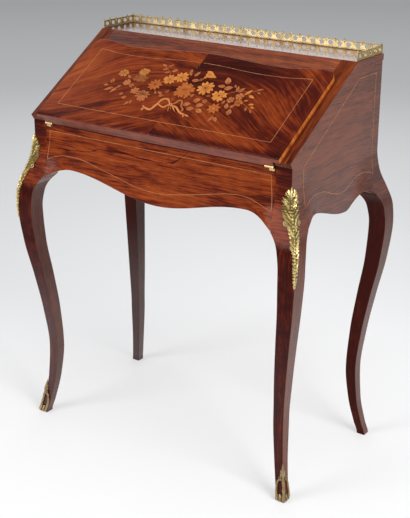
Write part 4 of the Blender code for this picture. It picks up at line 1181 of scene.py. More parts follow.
FLOWERS = (  # wood, place across and up, width, petals, notch, turn, squash, core, fullness of the petals
    ("brown", -119, 138, 39, 7, 0.12, 0.2, 0.70, "pink"),
    ("brown", -119, 139, 24, 6, 0.12, 0.8, 0.70, "yellow"),
    ("amber", -171, 145, 27, 7, 0.15, 0.1, 0.85, "orange"),
    ("amber", -121, 158, 30, 8, 0.18, 0.4, 0.72, "orange"),
    ("pink", -145, 119, 20, 6, 0.10, 0.5, 0.95, "yellow"),
    ("orange", -184, 117, 13, 5, 0.10, 0.7, 1.0, "brown"),
    ("pink", -128, 112, 12, 5, 0.10, 0.2, 1.0, "brown"),
    ("pink", -110, 99, 24, 6, None, 0.9, 0.90, "yellow"),
    ("pink", -84, 91, 42, 9, None, 0.3, 0.68, None),
    ("brown", -85, 94, 30, 7, 0.10, 0.1, 0.70, "dark"),
    ("pink", -80, 80, 22, 6, 0.10, 0.6, 0.80, "yellow"),
    ("orange", -71, 125, 37, 10, None, 0.15, 0.95, "brown"),
    ("orange", -71, 125, 22, 8, None, 0.4, 0.95, "dark"),
    ("yellow", -45, 147, 33, 5, 0.24, 0.5, 0.86, "orange", 1.02),
    ("yellow", -21, 158, 35, 5, 0.24, 1.1, 0.90, "orange", 1.02),
    ("orange", 9, 123, 48, 7, 0.16, 0.25, 1.0, None, 1.02),
    ("orange", 9, 124, 30, 6, 0.16, 0.60, 1.0, "brown"),
    ("yellow", 55, 138, 41, 5, 0.26, 0.9, 0.98, "brown", 1.02),
    ("yellow", 98, 123, 35, 5, 0.20, 0.3, 0.98, "dark"),
    ("yellow", 98, 123, 16, 4, 0.10, 0.8, 0.98, "dark"),
    ("pink", 146, 130, 20, 5, 0.16, 0.4, 1.0, "yellow"),
    ("pink", 131, 117, 18, 5, 0.16, 0.9, 1.0, "yellow"),
    ("orange", 153, 112, 20, 5, 0.16, 0.2, 1.0, "brown"),
    ("orange", 107, 86, 32, 8, None, 0.5, 1.0, "yellow"),
    ("pink", 75, 101, 12, 5, 0.10, 0.3, 1.0, "brown"),
)
TRUMPET = (  # outline of the one flower seen from the side
    (31, 187), (34, 181), (33, 175), (37, 170), (44, 169), (51, 170), (59, 171), (62, 173), (56, 177),
    (50, 182), (44, 187), (37, 188),
)
BOW = (  # wood, then place across and up and the width at points along each band
    (
        "ribbon",
        ((1, 76, 3.0), (-6, 83, 3.8), (-12, 89, 4.4), (-20, 90, 4.4), (-26, 87, 4.2), (-29, 81, 4.2),
         (-30, 73, 4.4), (-33, 66, 4.4), (-35, 59, 4.2), (-39, 53, 4.6), (-47, 54, 4.4), (-55, 56, 3.6)),
    ),
    ("ribbon", ((0, 75, 2.8), (-6, 71, 3.6), (-10, 66, 3.6), (-20, 68, 3.0), (-29, 72, 2.4))),
    (
        "pink",
        ((3, 76, 2.4), (7, 80, 2.6), (11, 84, 2.8), (13, 89, 3.0), (17, 92, 3.2), (23, 91, 3.2),
         (26, 86, 3.2), (28, 80, 3.2), (31, 75, 3.0), (37, 71, 3.0), (39, 66, 2.8), (37, 63, 2.2)),
    ),
    (
        "ribbon",
        ((4, 75, 3.0), (12, 73, 3.4), (18, 72, 4.0), (25, 68, 4.4), (33, 61, 4.2), (42, 57, 4.0),
         (49, 56, 3.6)),
    ),
    ("ribbon", ((6, 74, 2.2), (13, 69, 2.8), (22, 61, 1.8))),
    ("pink", ((1, 73, 1.8), (3, 66, 1.6), (6, 58, 1.2))),
    ("pink", ((4, 72, 1.6), (7, 68, 1.4), (10, 63, 1.0))),
)
FORKS = ((-57, 51, 10, 3.6, 254), (-58, 58, 10, 3.6, 152), (50, 52, 9, 3.4, 288), (57, 54, 15, 3.8, 348))

for wood, width, points in STEMS:
    path = curved(points)
    strip(wood, path, [width] * len(path), 0.1)
for row in LEAVES:
    leaf(*row)
for row in FLOWERS:
    flower(*row)
sliver("yellow", [on_fall(*point) for point in TRUMPET], on_fall(41, 178), 0.7)
leaf("yellow", 36, 168, 10, 5, 240)
for wood, points in BOW:
    path = curved([(x, up) for x, up, width in points], 4)
    places = [i * (len(points) - 1) / (len(path) - 1) for i in range(len(path))]
    widths = [(i, width) for i, (x, up, width) in enumerate(points)]
    strip(wood, path, [smooth(widths, place) for place in places], 0.25)
for row in FORKS:
    leaf("ribbon", *row, rib=False)
flower("ribbon", 2, 76, 9, 5, 0.0, 0.4, 1.0, "orange")


def inlay_wood(name, light, dark, scorched):
    """Veneer of the bouquet: fine grain, and brown where hot sand scorched it."""
    finish, (x, y, z) = new_finish(name)
    burnt = x.node("Attribute", {"attribute_name": "scorch"}, out="Fac")
    grain = cloud(x * 45.0, (y + z) * 160.0, 0.0, 3.0)
    line = cloud(x * 420.0, (y + z) * 700.0, 0.0, 2.0)
    patch = cloud(x * 38.0, (y + z) * 38.0, 9.0, 1.0)
    colour = blend(dark, light, between(grain * 0.45 + line * 0.25 + patch * 0.3, 0.36, 0.62))
    colour = blend(colour, scorched, between(burnt, 0.05, 0.95) * 0.85)
    return coat(finish, Base_Color=colour, Roughness=grain * 0.12 + 0.2, Specular_IOR_Level=0.12)


INLAY_WOODS = {  # light, dark and scorched colours
    "yellow": ((0.67, 0.258, 0.053), (0.53, 0.172, 0.033), (0.27, 0.062, 0.012)),
    "amber": ((0.53, 0.196, 0.043), (0.39, 0.126, 0.027), (0.21, 0.048, 0.010)),
    "orange": ((0.49, 0.140, 0.027), (0.35, 0.084, 0.016), (0.17, 0.032, 0.008)),
    "pink": ((0.50, 0.163, 0.054), (0.35, 0.093, 0.028), (0.18, 0.036, 0.011)),
    "brown": ((0.34, 0.102, 0.028), (0.22, 0.057, 0.015), (0.09, 0.018, 0.005)),
    "ribbon": ((0.68, 0.240, 0.076), (0.51, 0.160, 0.044), (0.30, 0.080, 0.020)),
    "dark": ((0.11, 0.024, 0.007), (0.06, 0.012, 0.004), (0.03, 0.007, 0.003)),
}
for wood, colours in INLAY_WOODS.items():
    finish = inlay_wood(f"inlay_{wood}", *colours)
    add_piece(f"bouquet_{wood}", finished(bouquet[wood]), [finish], body="fall")


# Writing leather
# A dyed skiver pasted into a shallow bed in the fall's inner face, with a gilt roll tooled round it: three
# lines and a row of small crosses.
leather_green, (x, y, z) = new_finish("writing_leather_green")
up = fall_lay(y, z)[0]
flat = x.node("CombineXYZ", None, {0: x, 1: up})
pebble = x.node("TexVoronoi", {"feature": "F1"}, {"Vector": flat, "Scale": 900.0})
mottle = cloud(x * 14.0, up * 14.0, 0.0, 4.0)
hide = blend((0.035, 0.075, 0.040), (0.085, 0.135, 0.070), between(mottle, 0.35, 0.65))
hide = blend(hide, (0.020, 0.045, 0.024), between(pebble, 0.25, 0.75) * 0.5)
coat(leather_green, Base_Color=hide, Roughness=mottle * 0.2 + 0.38, Normal=(1.0 - pebble).bump(0.35, 0.0003))
dress(["writing_leather"], leather_green, 0.0003)


def gilt(name, light, dark, rough, hollow=None):
    """Gilt or lacquered brass: bright on the high places, with tarnish and painted shade in the hollows."""
    finish, (x, y, z) = new_finish(name)
    tarnish = cloud(x * 55.0, y * 55.0, z * 55.0, 4.0)
    spots = cloud(x * 700.0, y * 700.0, z * 700.0, 2.0)
    mask = between(tarnish * 0.7 + spots * 0.3, 0.40, 0.66) * 0.55
    if hollow:
        # Marked hollows darken: tarnish and painted shade.
        deep = x.node("Attribute", {"attribute_name": hollow}, out="Fac")
        mask = mask.math("MAXIMUM", mask, between(deep, 0.30, 0.85))
    pitted = (tarnish + spots * 0.5).bump(0.15, 0.0002)
    colour = blend(light, dark, mask)
    return coat(finish, Base_Color=colour, Metallic=1.0, Roughness=mask * 0.25 + rough, Normal=pitted)


def framed(left, right, foot, head):
    """The four straight sides of an upright rectangle, each by its two ends."""
    return [
        ((left, foot), (right, foot)),
        ((left, head), (right, head)),
        ((left, foot), (left, head)),
        ((right, foot), (right, head)),
    ]


tooled_gilt = gilt("tooled_gilt", (0.78, 0.58, 0.24), (0.42, 0.28, 0.09), 0.35)
TOOLED_LINES = ((0.006, 0.0012), (0.0085, 0.0005), (0.0150, 0.0005))  # distance in from the edge, width
GILT_PROUD = 0.00005
CROSS_INSET = 0.01175
CROSS_PITCH = 0.0078
CROSS_LONG = 0.0044
runs = []
for inset, width in TOOLED_LINES:
    half = LEATHER_HALF - inset
    for ends in framed(-half, half, LEATHER_FROM + inset, LEATHER_TO - inset):
        runs.append(string([in_fall(x, up, 0.0) for x, up in ends], -FALL_OUT, width, GILT_PROUD))
near, far, half = LEATHER_FROM + CROSS_INSET, LEATHER_TO - CROSS_INSET, LEATHER_HALF - CROSS_INSET
count_x, count_up = round(2 * half / CROSS_PITCH), round((far - near) / CROSS_PITCH)
crosses = [(x, up) for x in spread(-half, half, count_x) for up in (near, far)]
crosses += [(x, up) for x in (-half, half) for up in spread(near, far, count_up)[1:-1]]
for x, up in crosses:
    for angle in (0.0, math.pi / 2):
        bar = [(px - CROSS_LONG / 2, py) for px, py in pointed_outline(CROSS_LONG, 0.0007)]
        bar = turned(bar, angle, x, up)
        runs.append([[in_fall(px, pu, out) for px, pu in bar] for out in (0.0003, -GILT_PROUD)])
add_piece("leather_tooling", lofted(*runs), [tooled_gilt], body="fall")


# Hinges
# Two brass butt hinges with three knuckles on a steel pin, one leaf let into the apron's upper edge and
# one into the fall's back edge. Each leaf is held by two slotted brass screws, and the lower one is turned
# down over the apron's face at its outer end.
HINGE_SCREW = 0.0019  # radius of a head
HINGE_SCREW_OFF = 0.0058  # off the hinge's middle
HINGE_SCREW_UP = 0.0105
TURNED_LIP = ((-0.002, 0.0085), (0.0098, 0.0085), (0.0098, 0.0022), (-0.002, 0.0022))  # along, below the desk
LIP_EDGE = ((0.0, 0.0010), (0.0007, 0.0010), (0.0010, 0.0016))  # height off the face, rounding of the corners
SCREW_STEPS = 20
SLOT_DEEP = 0.00035
hinge_brass = gilt("hinge_brass", (0.74, 0.58, 0.28), (0.40, 0.28, 0.10), 0.26)
pin_steel = gilt("pin_steel", (0.50, 0.48, 0.45), (0.26, 0.23, 0.20), 0.34)


def screws(radius, places):
    """Mesh of slotted countersunk screws, each by its place, with +Z out of it, and the turn of its slot."""
    shape = bmesh.new()
    profile = ((radius * 0.55, -0.0010), (radius, 0.0), (radius * 0.97, 0.00008))
    turns = spread(0.0, 2 * math.pi, SCREW_STEPS)[:-1]
    rings = [[(r * math.cos(a), r * math.sin(a), height) for a in turns] for r, height in profile]
    long, half = radius * 1.2, radius * 0.11
    for place, slot_turn in places:
        slot = block((-long, -half, -SLOT_DEEP), (long, half, 0.001), Matrix.Rotation(slot_turn, 4, "Z"))
        head = carved(lofted(rings), [slot])
        head.transform(place)
        shape.from_mesh(head)
    return finished(shape)


def on_fall_back(x, up):
    """Place on the fall's inner face, with +Z out of it."""
    return IN_FALL @ Matrix.Translation((x, up, 0.0)) @ Matrix.Rotation(math.pi, 4, "X")


for side_name, side in SIDES.items():
    dress([f"{name}_hinge_leaf_{side_name}" for name in ("desk", "fall")], hinge_brass, 0.0002)
    dress([f"hinge_pin_{side_name}"], pin_steel, 0.0002)
    on_desk, on_flap = [], []
    for i, x in enumerate((side * HINGE_X - HINGE_SCREW_OFF, side * HINGE_X + HINGE_SCREW_OFF)):
        on_desk.append((Matrix.Translation((x, HINGE_Y + HINGE_SCREW_UP, DESK_HEIGHT)), 0.4 + i))
        on_flap.append((on_fall_back(x, HINGE_SCREW_UP), 1.1 + i))
    for name, body, places in (("desk", "carcass", on_desk), ("fall", "fall", on_flap)):
        mesh = screws(HINGE_SCREW, places)
        add_piece(f"{name}_leaf_screws_{side_name}", mesh, [hinge_brass], (), body)
    outline = [Vector((side * (HINGE_X + off), DESK_HEIGHT - drop)) for off, drop in TURNED_LIP]
    rings = []
    for proud, rounding in LIP_EDGE:
        rings.append([(p.x, FRONT - proud, p.y) for p in rounded_ring(outline, [rounding] * 4)])
    add_piece(f"hinge_lip_{side_name}", lofted(rings), [hinge_brass])


# Lock
# A brass cut lock screwed into the fall's upper edge, its steel bolt, the strike plate in the top rail,
# and the brass liner of the keyhole.
# The keyhole's liner is coloured nearly black: painted shade, so it reads as a dark hole.
keyhole_shade_brass = gilt("keyhole_shade_brass", (0.20, 0.14, 0.07), (0.06, 0.04, 0.02), 0.40)
dress(["lock_case"], hinge_brass, 0.0003)
dress(["lock_bolt"], pin_steel, 0.0003)
dress(["strike_plate"], hinge_brass, 0.0002)
dress(["escutcheon"], keyhole_shade_brass, 0.0002)
LOCK_SCREW = 0.0021
LOCK_SCREW_X = 0.0165
LOCK_SCREW_UP = (0.006, 0.027)  # from the lock's lower end
places = []
for i, x in enumerate((-LOCK_SCREW_X, LOCK_SCREW_X)):
    for j, up in enumerate(LOCK_SCREW_UP):
        places.append((on_fall_back(x, lock_from + up), 0.5 + i + 2 * j))
add_piece("lock_screws", screws(LOCK_SCREW, places), [hinge_brass], body="fall")


# Fitted interior
# Thin oak partitions at the back of the desk: a bed and dividers for three drawers, and a shelf with four
# pigeonholes over them. The drawers are oak boxes with rosewood fronts, boxwood string and brass knobs.
oak_inside = oak("oak_inside", lambda x, y, z: (x, y, z), 0.05)
oak_partition = oak("oak_partition", lambda x, y, z: (y, z, x), 0.05)
dress(["drawer_bed", "pigeonhole_shelf"], oak_inside, 0.0008)
dress([f"drawer_divider_{side_name}" for side_name in SIDES], oak_partition, 0.0008)
dress([f"pigeonhole_divider_{i}" for i in (1, 2, 3)], oak_partition, 0.0008)
drawer_rosewood = rosewood("drawer_rosewood", lambda x, y, z: (x, z, y))
DRAWER_STRING = (0.006, 0.0011, 0.00006)  # distance in from the edge, width, height off the front
KNOB_PROFILE = (  # distance from the front, radius
    (0.0, 0.0049), (0.0010, 0.0050), (0.0016, 0.0038), (0.0024, 0.0029), (0.0060, 0.0027), (0.0074, 0.0034),
    (0.0086, 0.0052), (0.0099, 0.0063), (0.0110, 0.0065), (0.0122, 0.0061), (0.0132, 0.0046),
    (0.0138, 0.0026), (0.0140, 1e-5),
)
KNOB_STEPS = 28
for name in ("left", "centre", "right"):
    dress([f"drawer_front_{name}"], drawer_rosewood, 0.0005)
    dress([f"drawer_box_{name}"], oak_inside, 0.0004)
    low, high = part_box(f"drawer_front_{name}")
    inset, width, proud = DRAWER_STRING
    runs = []
    for ends in framed(low.x + inset, high.x - inset, low.z + inset, high.z - inset):
        runs.append(string([Vector((x, low.y, z)) for x, z in ends], FRONT_OUT, width, proud))
    add_piece(f"drawer_string_{name}", lofted(*runs), [string_boxwood], body=f"drawer_{name}")
    low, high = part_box(f"drawer_knob_{name}")
    middle = (low + high) / 2
    turns = spread(0.0, 2 * math.pi, KNOB_STEPS)[:-1]
    rings = []
    for off, r in KNOB_PROFILE:
        rings.append([(middle.x + r * math.cos(a), high.y - off, middle.z + r * math.sin(a)) for a in turns])
    nodes = [f"drawer_knob_{name}"]
    add_piece(f"turned_knob_{name}", lofted(rings), [hinge_brass], nodes, f"drawer_{name}")


# Gallery
# A pierced brass gallery cast in strips and pinned on the flat top at the left, back and right: a moulded
# foot, a row of arches on waisted posts, and a rail with a small finial over each post.
GALLERY_FOOT = 0.0048
GALLERY_ARCH = 0.0134
GALLERY_RAIL = 0.0165
GALLERY_HEIGHT = 0.022
GALLERY_PITCH = 0.0225
GALLERY_ROUND = 0.0004  # rounding of the casting, a quarter of its thickness
FINIAL_MIDDLE = GALLERY_RAIL + 0.0024
FINIAL_BALL = 0.0016
FINIAL_ROUND = 0.0017  # radius of its outline
FINIAL_NECK = ((0.0030, GALLERY_RAIL), (0.0011, GALLERY_RAIL + 0.0007))
FINIAL_TIP = ((0.0006, GALLERY_HEIGHT - 0.0010), (0.0, GALLERY_HEIGHT), (-0.0006, GALLERY_HEIGHT - 0.0010))
DIAMOND = ((0.0, 0.0102), (0.0019, 0.0140), (0.0, 0.0152), (-0.0019, 0.0140))  # small hole in a post
POST_HALF = 0.0053
POST_FOOT = (0.0016, 0.0012)  # how far a post spreads at its foot, and how high
ARCH_SQUASH = 0.86
MOULDINGS = ((0.0013, 0.0015), (GALLERY_RAIL - 0.0005, 0.0012))  # height, radius
MOULDING_SHORT = 0.0003
gallery_brass = gilt("gallery_brass", (0.60, 0.46, 0.23), (0.28, 0.18, 0.055), 0.40)


def pierced_strip(length, bays):
    """Strip of gallery in XY: one outline with finials, and its piercings."""
    pitch = length / bays
    outer = [(0.0, 0.0), (length, 0.0)]
    ball = arc((0.0, FINIAL_MIDDLE), FINIAL_ROUND, -50, 230, 10)
    finial = [*FINIAL_NECK, *ball[1:5], *FINIAL_TIP, *ball[6:-1]]
    finial += [(-px, pz) for px, pz in FINIAL_NECK[::-1]]
    for i in range(bays, -1, -1):
        clipped = [(min(max(i * pitch + px, 0.0), length), pz) for px, pz in finial]
        outer += [p for k, p in enumerate(clipped) if k == 0 or p != clipped[k - 1]]
    outlines = [outer]
    half = pitch / 2 - POST_HALF
    wide, high = POST_FOOT
    foot = [(wide - half, GALLERY_FOOT + high), (-half * 0.45, GALLERY_FOOT)]
    foot += [(-px, pz) for px, pz in foot[::-1]]
    spring = GALLERY_ARCH - half * ARCH_SQUASH
    top = [(px, spring + pz * ARCH_SQUASH) for px, pz in arc((0.0, 0.0), half, 12, 168, 12)]
    for i in range(bays):
        outlines.append([((i + 0.5) * pitch + px, pz) for px, pz in foot + top])
    for i in range(1, bays):
        outlines.append([(i * pitch + px, pz) for px, pz in DIAMOND])
    return outlines


def cast_plate(outlines):
    """Flat outlines filled, thickened and rounded at their edges."""
    curve = bpy.data.curves.new("casting", "CURVE")
    curve.dimensions = "2D"
    curve.fill_mode = "BOTH"
    curve.extrude = GALLERY_ROUND
    curve.bevel_depth = GALLERY_ROUND
    curve.bevel_resolution = 1
    curve.offset = -GALLERY_ROUND
    for outline in outlines:
        spline = curve.splines.new("POLY")
        spline.points.add(len(outline) - 1)
        for point, (x, y) in zip(spline.points, outline):
            point.co = (x, y, 0.0, 1.0)
        spline.use_cyclic_u = True
    guide = in_room("casting", curve)
    graph = bpy.context.evaluated_depsgraph_get()
    mesh = bpy.data.meshes.new_from_object(guide.evaluated_get(graph))
    bpy.data.objects.remove(guide)
    return mesh


def gallery_strip(name, length, place):
    """One strip on the top: the pierced casting, with a half-round moulding along its foot and its rail."""
    bays = round(length / GALLERY_PITCH)
    shape = bmesh.new()
    shape.from_mesh(cast_plate(pierced_strip(length, bays)))
    ends = (MOULDING_SHORT, length - MOULDING_SHORT)
    for height, radius in MOULDINGS:
        ring = arc((0.0, height), radius, 0, 330, 11)
        skin(shape, [[(x, max(z, 0.0), y) for y, z in ring] for x in ends])
    for i in range(bays + 1):
        x = min(max(i * length / bays, FINIAL_BALL), length - FINIAL_BALL)
        ball = bmesh.ops.create_uvsphere(shape, u_segments=8, v_segments=6, radius=FINIAL_BALL)["verts"]
        bmesh.ops.translate(shape, vec=(x, FINIAL_MIDDLE, 0.0), verts=ball)
    mesh = finished(shape, 50.0)
    mesh.transform(place)
    add_piece(f"{name}_casting", mesh, [gallery_brass], [name])


stand = Matrix.Rotation(math.pi / 2, 4, "X")
turn = Matrix.Rotation(math.pi / 2, 4, "Z")
low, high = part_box("gallery_back")
gallery_foot = low.z
place = Matrix.Translation((low.x, (low.y + high.y) / 2, gallery_foot)) @ stand
gallery_strip("gallery_back", high.x - low.x, place)
for side_name in SIDES:
    low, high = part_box(f"gallery_{side_name}")
    place = Matrix.Translation(((low.x + high.x) / 2, low.y, gallery_foot)) @ turn @ stand
    gallery_strip(f"gallery_{side_name}", high.y - low.y, place)


# Knee mounts
# Gilt-brass corner mounts pinned over the front knees: acanthus leaves that taper down the leg, with
# scrolls at the waist and a shell at the crown. Cast, chased and left bright on the high places, with
# tarnish and painted shade in the low ones.
KNEE_MOUNT = (  # drop below the desk, width of the front wing and of the side wing, relief
    (0.229, 0.0015, 0.0030, 0.0014),
    (0.215, 0.0035, 0.0070, 0.0026),
    (0.192, 0.0045, 0.0100, 0.0034),
    (0.165, 0.0060, 0.0125, 0.0042),
    (0.146, 0.0090, 0.0145, 0.0048),
    (0.127, 0.0140, 0.0175, 0.0050),
    (0.115, 0.0185, 0.0200, 0.0052),
    (0.100, 0.0225, 0.0225, 0.0054),
    (0.080, 0.0235, 0.0235, 0.0054),
    (0.060, 0.0195, 0.0200, 0.0054),
    (0.046, 0.0110, 0.0120, 0.0050),
    (0.033, 0.0020, 0.0022, 0.0026),
)
MOUNT_FOOT, MOUNT_CROWN = DESK_HEIGHT - KNEE_MOUNT[0][0], DESK_HEIGHT - KNEE_MOUNT[-1][0]
MOUNT_WINGS = {  # width of a wing by height, on the front and on the side
    -1: [(DESK_HEIGHT - drop, front) for drop, front, side, relief in KNEE_MOUNT],
    1: [(DESK_HEIGHT - drop, side) for drop, front, side, relief in KNEE_MOUNT],
}
MOUNT_RELIEF = [(DESK_HEIGHT - drop, relief) for drop, front, side, relief in KNEE_MOUNT]
MOUNT_SEAT = 0.0003
CORNER_WRAP = 0.006  # width over which a casting turns round the leg's corner
MOUNT_ROWS = 280
MOUNT_COLUMNS = 76
PLATE_SHARE = 0.26  # share of the relief that is the plate under the leaves
LEAF_PAIRS = 29
PIERCING = (-0.0030, DESK_HEIGHT - 0.131, 0.0026, 0.0042)  # one hole on the front wing: place, half sizes
KNEE_SCROLLS = (  # drop below the desk, place across, radius, turns, first angle, thickness
    (0.146, 0.0050, 0.0048, 1.5, 1.2, 0.0011),
    (0.104, 0.0160, 0.0048, 1.5, -0.6, 0.0011),
    (0.064, 0.0125, 0.0050, 1.6, 2.2, 0.0011),
)
mount_gilt = gilt("mount_gilt", (0.74, 0.59, 0.27), (0.22, 0.155, 0.048), 0.34, "hollow")


def on_corner(side, z, across, out):
    """Point over a front leg's outer corner: across is minus on the front and plus on the side."""
    turn = math.pi / 2 * min(max(across / CORNER_WRAP + 0.5, 0.0), 1.0)
    x = HALF_WIDTH + splay(z) + min(across, 0.0) + math.sin(turn) * out
    y = FRONT - splay(z) + max(across, 0.0) - math.cos(turn) * out
    return Vector((side * x, y, z))


acanthus = []  # place across and height of a leaf's root, length, half width, way out, share of the relief


def lay_leaf(root, root_z, length, half, face, rise, share):
    """Adds a leaf of the mount, turned up from the level by an angle."""
    rise = math.radians(rise)
    acanthus.append((root, root_z, length, half, face * math.cos(rise), math.sin(rise), share))


leaf_pitch = (MOUNT_CROWN - MOUNT_FOOT) * 0.93 / LEAF_PAIRS
for i in range(LEAF_PAIRS):
    z = MOUNT_FOOT + leaf_pitch * i
    lay_leaf(0.0, z, 0.0060, 0.0020, 1, 90.0, 0.95)
    for face in (-1, 1):
        stir, shake = math.sin(12.9 * i + 4.1 * face), math.sin(7.3 * i + 2.2 * face)
        reach = smooth(MOUNT_WINGS[face], z)
        half, rise, share = 0.0018 + 0.0004 * shake, 45 + 20 * shake, 0.86 + 0.14 * stir
        lay_leaf(face * 0.001, z + 0.0015 * shake, 1.1 * reach, half, face, rise, share)
        half, rise, share = 0.0015 + 0.0003 * stir, 12 + 48 * stir, 0.74 + 0.20 * shake
        lay_leaf(face * 0.48 * reach, z + 0.0042, 0.56 * reach, half, face, rise, share)
for lean in (-40, -20, 0, 20, 40):
    root_z = MOUNT_CROWN - 0.024 + 0.00004 * lean * lean / 10
    lay_leaf(lean * 0.00006, root_z, 0.024, 0.0019, 1, 90 - lean, 1.0)


def chased(across, z):
    """Share of the relief at a place on the mount: the highest of the leaves that cover it."""
    high = 0.0
    for root, root_z, length, half, out_x, out_z, share in acanthus:
        if abs(z - root_z) > length:
            continue
        along = ((across - root) * out_x + (z - root_z) * out_z) / length
        beside = ((z - root_z) * out_x - (across - root) * out_z) / half
        inside = 1.0 - (2.0 * along - 1.0) ** 2 - beside**2
        if inside > 0.0:
            high = max(high, share * math.sqrt(inside) * (0.84 + 0.16 * math.cos(2 * math.pi * beside)))
    hole = ((across - PIERCING[0]) / PIERCING[2]) ** 2 + ((z - PIERCING[1]) / PIERCING[3]) ** 2
    return high * min(max(hole - 0.6, 0.0), 1.0)


def trimmed(face, z):
    """Width of a wing where the leaves end: the sheet is sawn away between their tips."""
    wing = smooth(MOUNT_WINGS[face], z)
    for share in spread(1.12, 0.62, 20):
        if chased(face * wing * share, z) > 0.12:
            return wing * share
    return wing * 0.62


def tube(shape, path, radii):
    """Rounded bar along points, tapering by its radii."""
    rings = []
    turns = spread(0.0, 2 * math.pi, 8)[:-1]
    for (point, ahead), radius in zip(headings(path), radii):
        ahead.normalize()
        side_way = ahead.cross(Vector((0.0, 0.0, 1.0)))
        if side_way.length < 1e-4:
            side_way = ahead.cross(Vector((1.0, 0.0, 0.0)))
        side_way.normalize()
        up_way = side_way.cross(ahead)
        rings.append([point + (side_way * math.cos(a) + up_way * math.sin(a)) * radius for a in turns])
    skin(shape, rings)


def volute(side, face, z, across, radius, turns, start, thick):
    """Path of a scroll lying on one face of the corner, winding in to its eye, and its radii."""
    path, radii = [], []
    for share in spread(0.0, 1.0, 34):
        angle = start + face * turns * 2 * math.pi * share
        reach = radius * (1.0 - 0.82 * share)
        point_across = face * (across + reach * math.cos(angle) * face)
        path.append(on_corner(side, z + reach * math.sin(angle), point_across, 0.0030 + 0.0022 * share))
        radii.append(thick * (1.0 - 0.35 * share))
    return path, radii


def new_casting(rings, hollow_shade_and_tarnish):
    """Shape of a casting over its rings, which holds how deep each point lies, for tarnish and painted shade.
    """
    shape = bmesh.new()
    hollow = shape.verts.layers.float.new("hollow")
    for ring, deep in zip(skin(shape, rings), hollow_shade_and_tarnish):
        for vert, dark in zip(ring, deep):
            vert[hollow] = dark
    return shape


chasing = []  # rows of the mount from foot to crown: height, then places across with their relief
for z in spread(MOUNT_FOOT, MOUNT_CROWN, MOUNT_ROWS):
    places = spread(-trimmed(-1, z), trimmed(1, z), MOUNT_COLUMNS)
    chasing.append((z, [(across, chased(across, z)) for across in places]))
for side_name, side in SIDES.items():
    rings, hollow_shade_and_tarnish = [], []
    for z, row in chasing:
        relief = smooth(MOUNT_RELIEF, z)
        ring = []
        for across, high in row:
            out = MOUNT_SEAT + relief * (PLATE_SHARE + (1.0 - PLATE_SHARE) * high)
            ring.append(on_corner(side, z, across, out))
        rings.append(ring + [on_corner(side, z, across, 0.0) for across, high in row[::-4]])
        # Low places of the relief darken: tarnish and painted shade.
        hollow_shade_and_tarnish.append([1.0 - min(high / 0.75, 1.0) for across, high in row])
    shape = new_casting(rings, hollow_shade_and_tarnish)
    for face in (-1, 1):
        for drop, *scroll in KNEE_SCROLLS:
            tube(shape, *volute(side, face, DESK_HEIGHT - drop, *scroll))
    name = f"knee_mount_{side_name}"
    add_piece(f"{name}_casting", finished(shape, 60.0), [mount_gilt], [name])


# Toe caps
# Gilt-brass sabots on the front toes: a flared shoe, a rib up the corner that ends in a leaf, and a scroll
# on each face that leaves the dark wood showing through. They are duller than the mounts above.
TOE_WING = 0.0205
SHOE_HEIGHT = 0.017
SHOE_RELIEF = ((0.0, 0.0012), (0.12, 0.0034), (0.35, 0.0048), (0.70, 0.0038), (1.0, 0.0020))
TOE_SCROLL = (0.052, 0.0052, 0.0040, 1.3, -1.0, 0.0013)  # as for a knee's, but with its height first
ARM_FOOT, ARM_RISE = 0.008, 0.040  # of the bowed arm on each face
ARM_IN, ARM_SPREAD = 0.0020, 0.0150
SIDE_LEAVES = ((0.054, 0.0056), (0.061, 0.0046))  # height of the root, reach
SIDE_LEAF_RADII = (0.0012, 0.0018, 0.0020, 0.0018, 0.0015, 0.0010, 0.0005)
TOE_RIB = (0.008, 0.054)  # heights of its ends
TOE_TIP = (0.052, 0.084)
TIP_RADII = (0.0026, 0.0036, 0.0042, 0.0040, 0.0033, 0.0025, 0.0018, 0.0011, 0.0004)
toe_gilt = gilt("toe_gilt", (0.42, 0.30, 0.16), (0.085, 0.050, 0.022), 0.36, "hollow")


def shoe_flute(q):
    """How high a flute of the shoe stands at a share of the wing."""
    return abs(math.cos(2.5 * math.pi * q))


def on_shoe(side, share, q, out):
    """Point of the shoe, at a share of its height and of its wing."""
    return on_corner(side, SHOE_HEIGHT * share * (0.72 + 0.28 * shoe_flute(q)), q * TOE_WING, out)


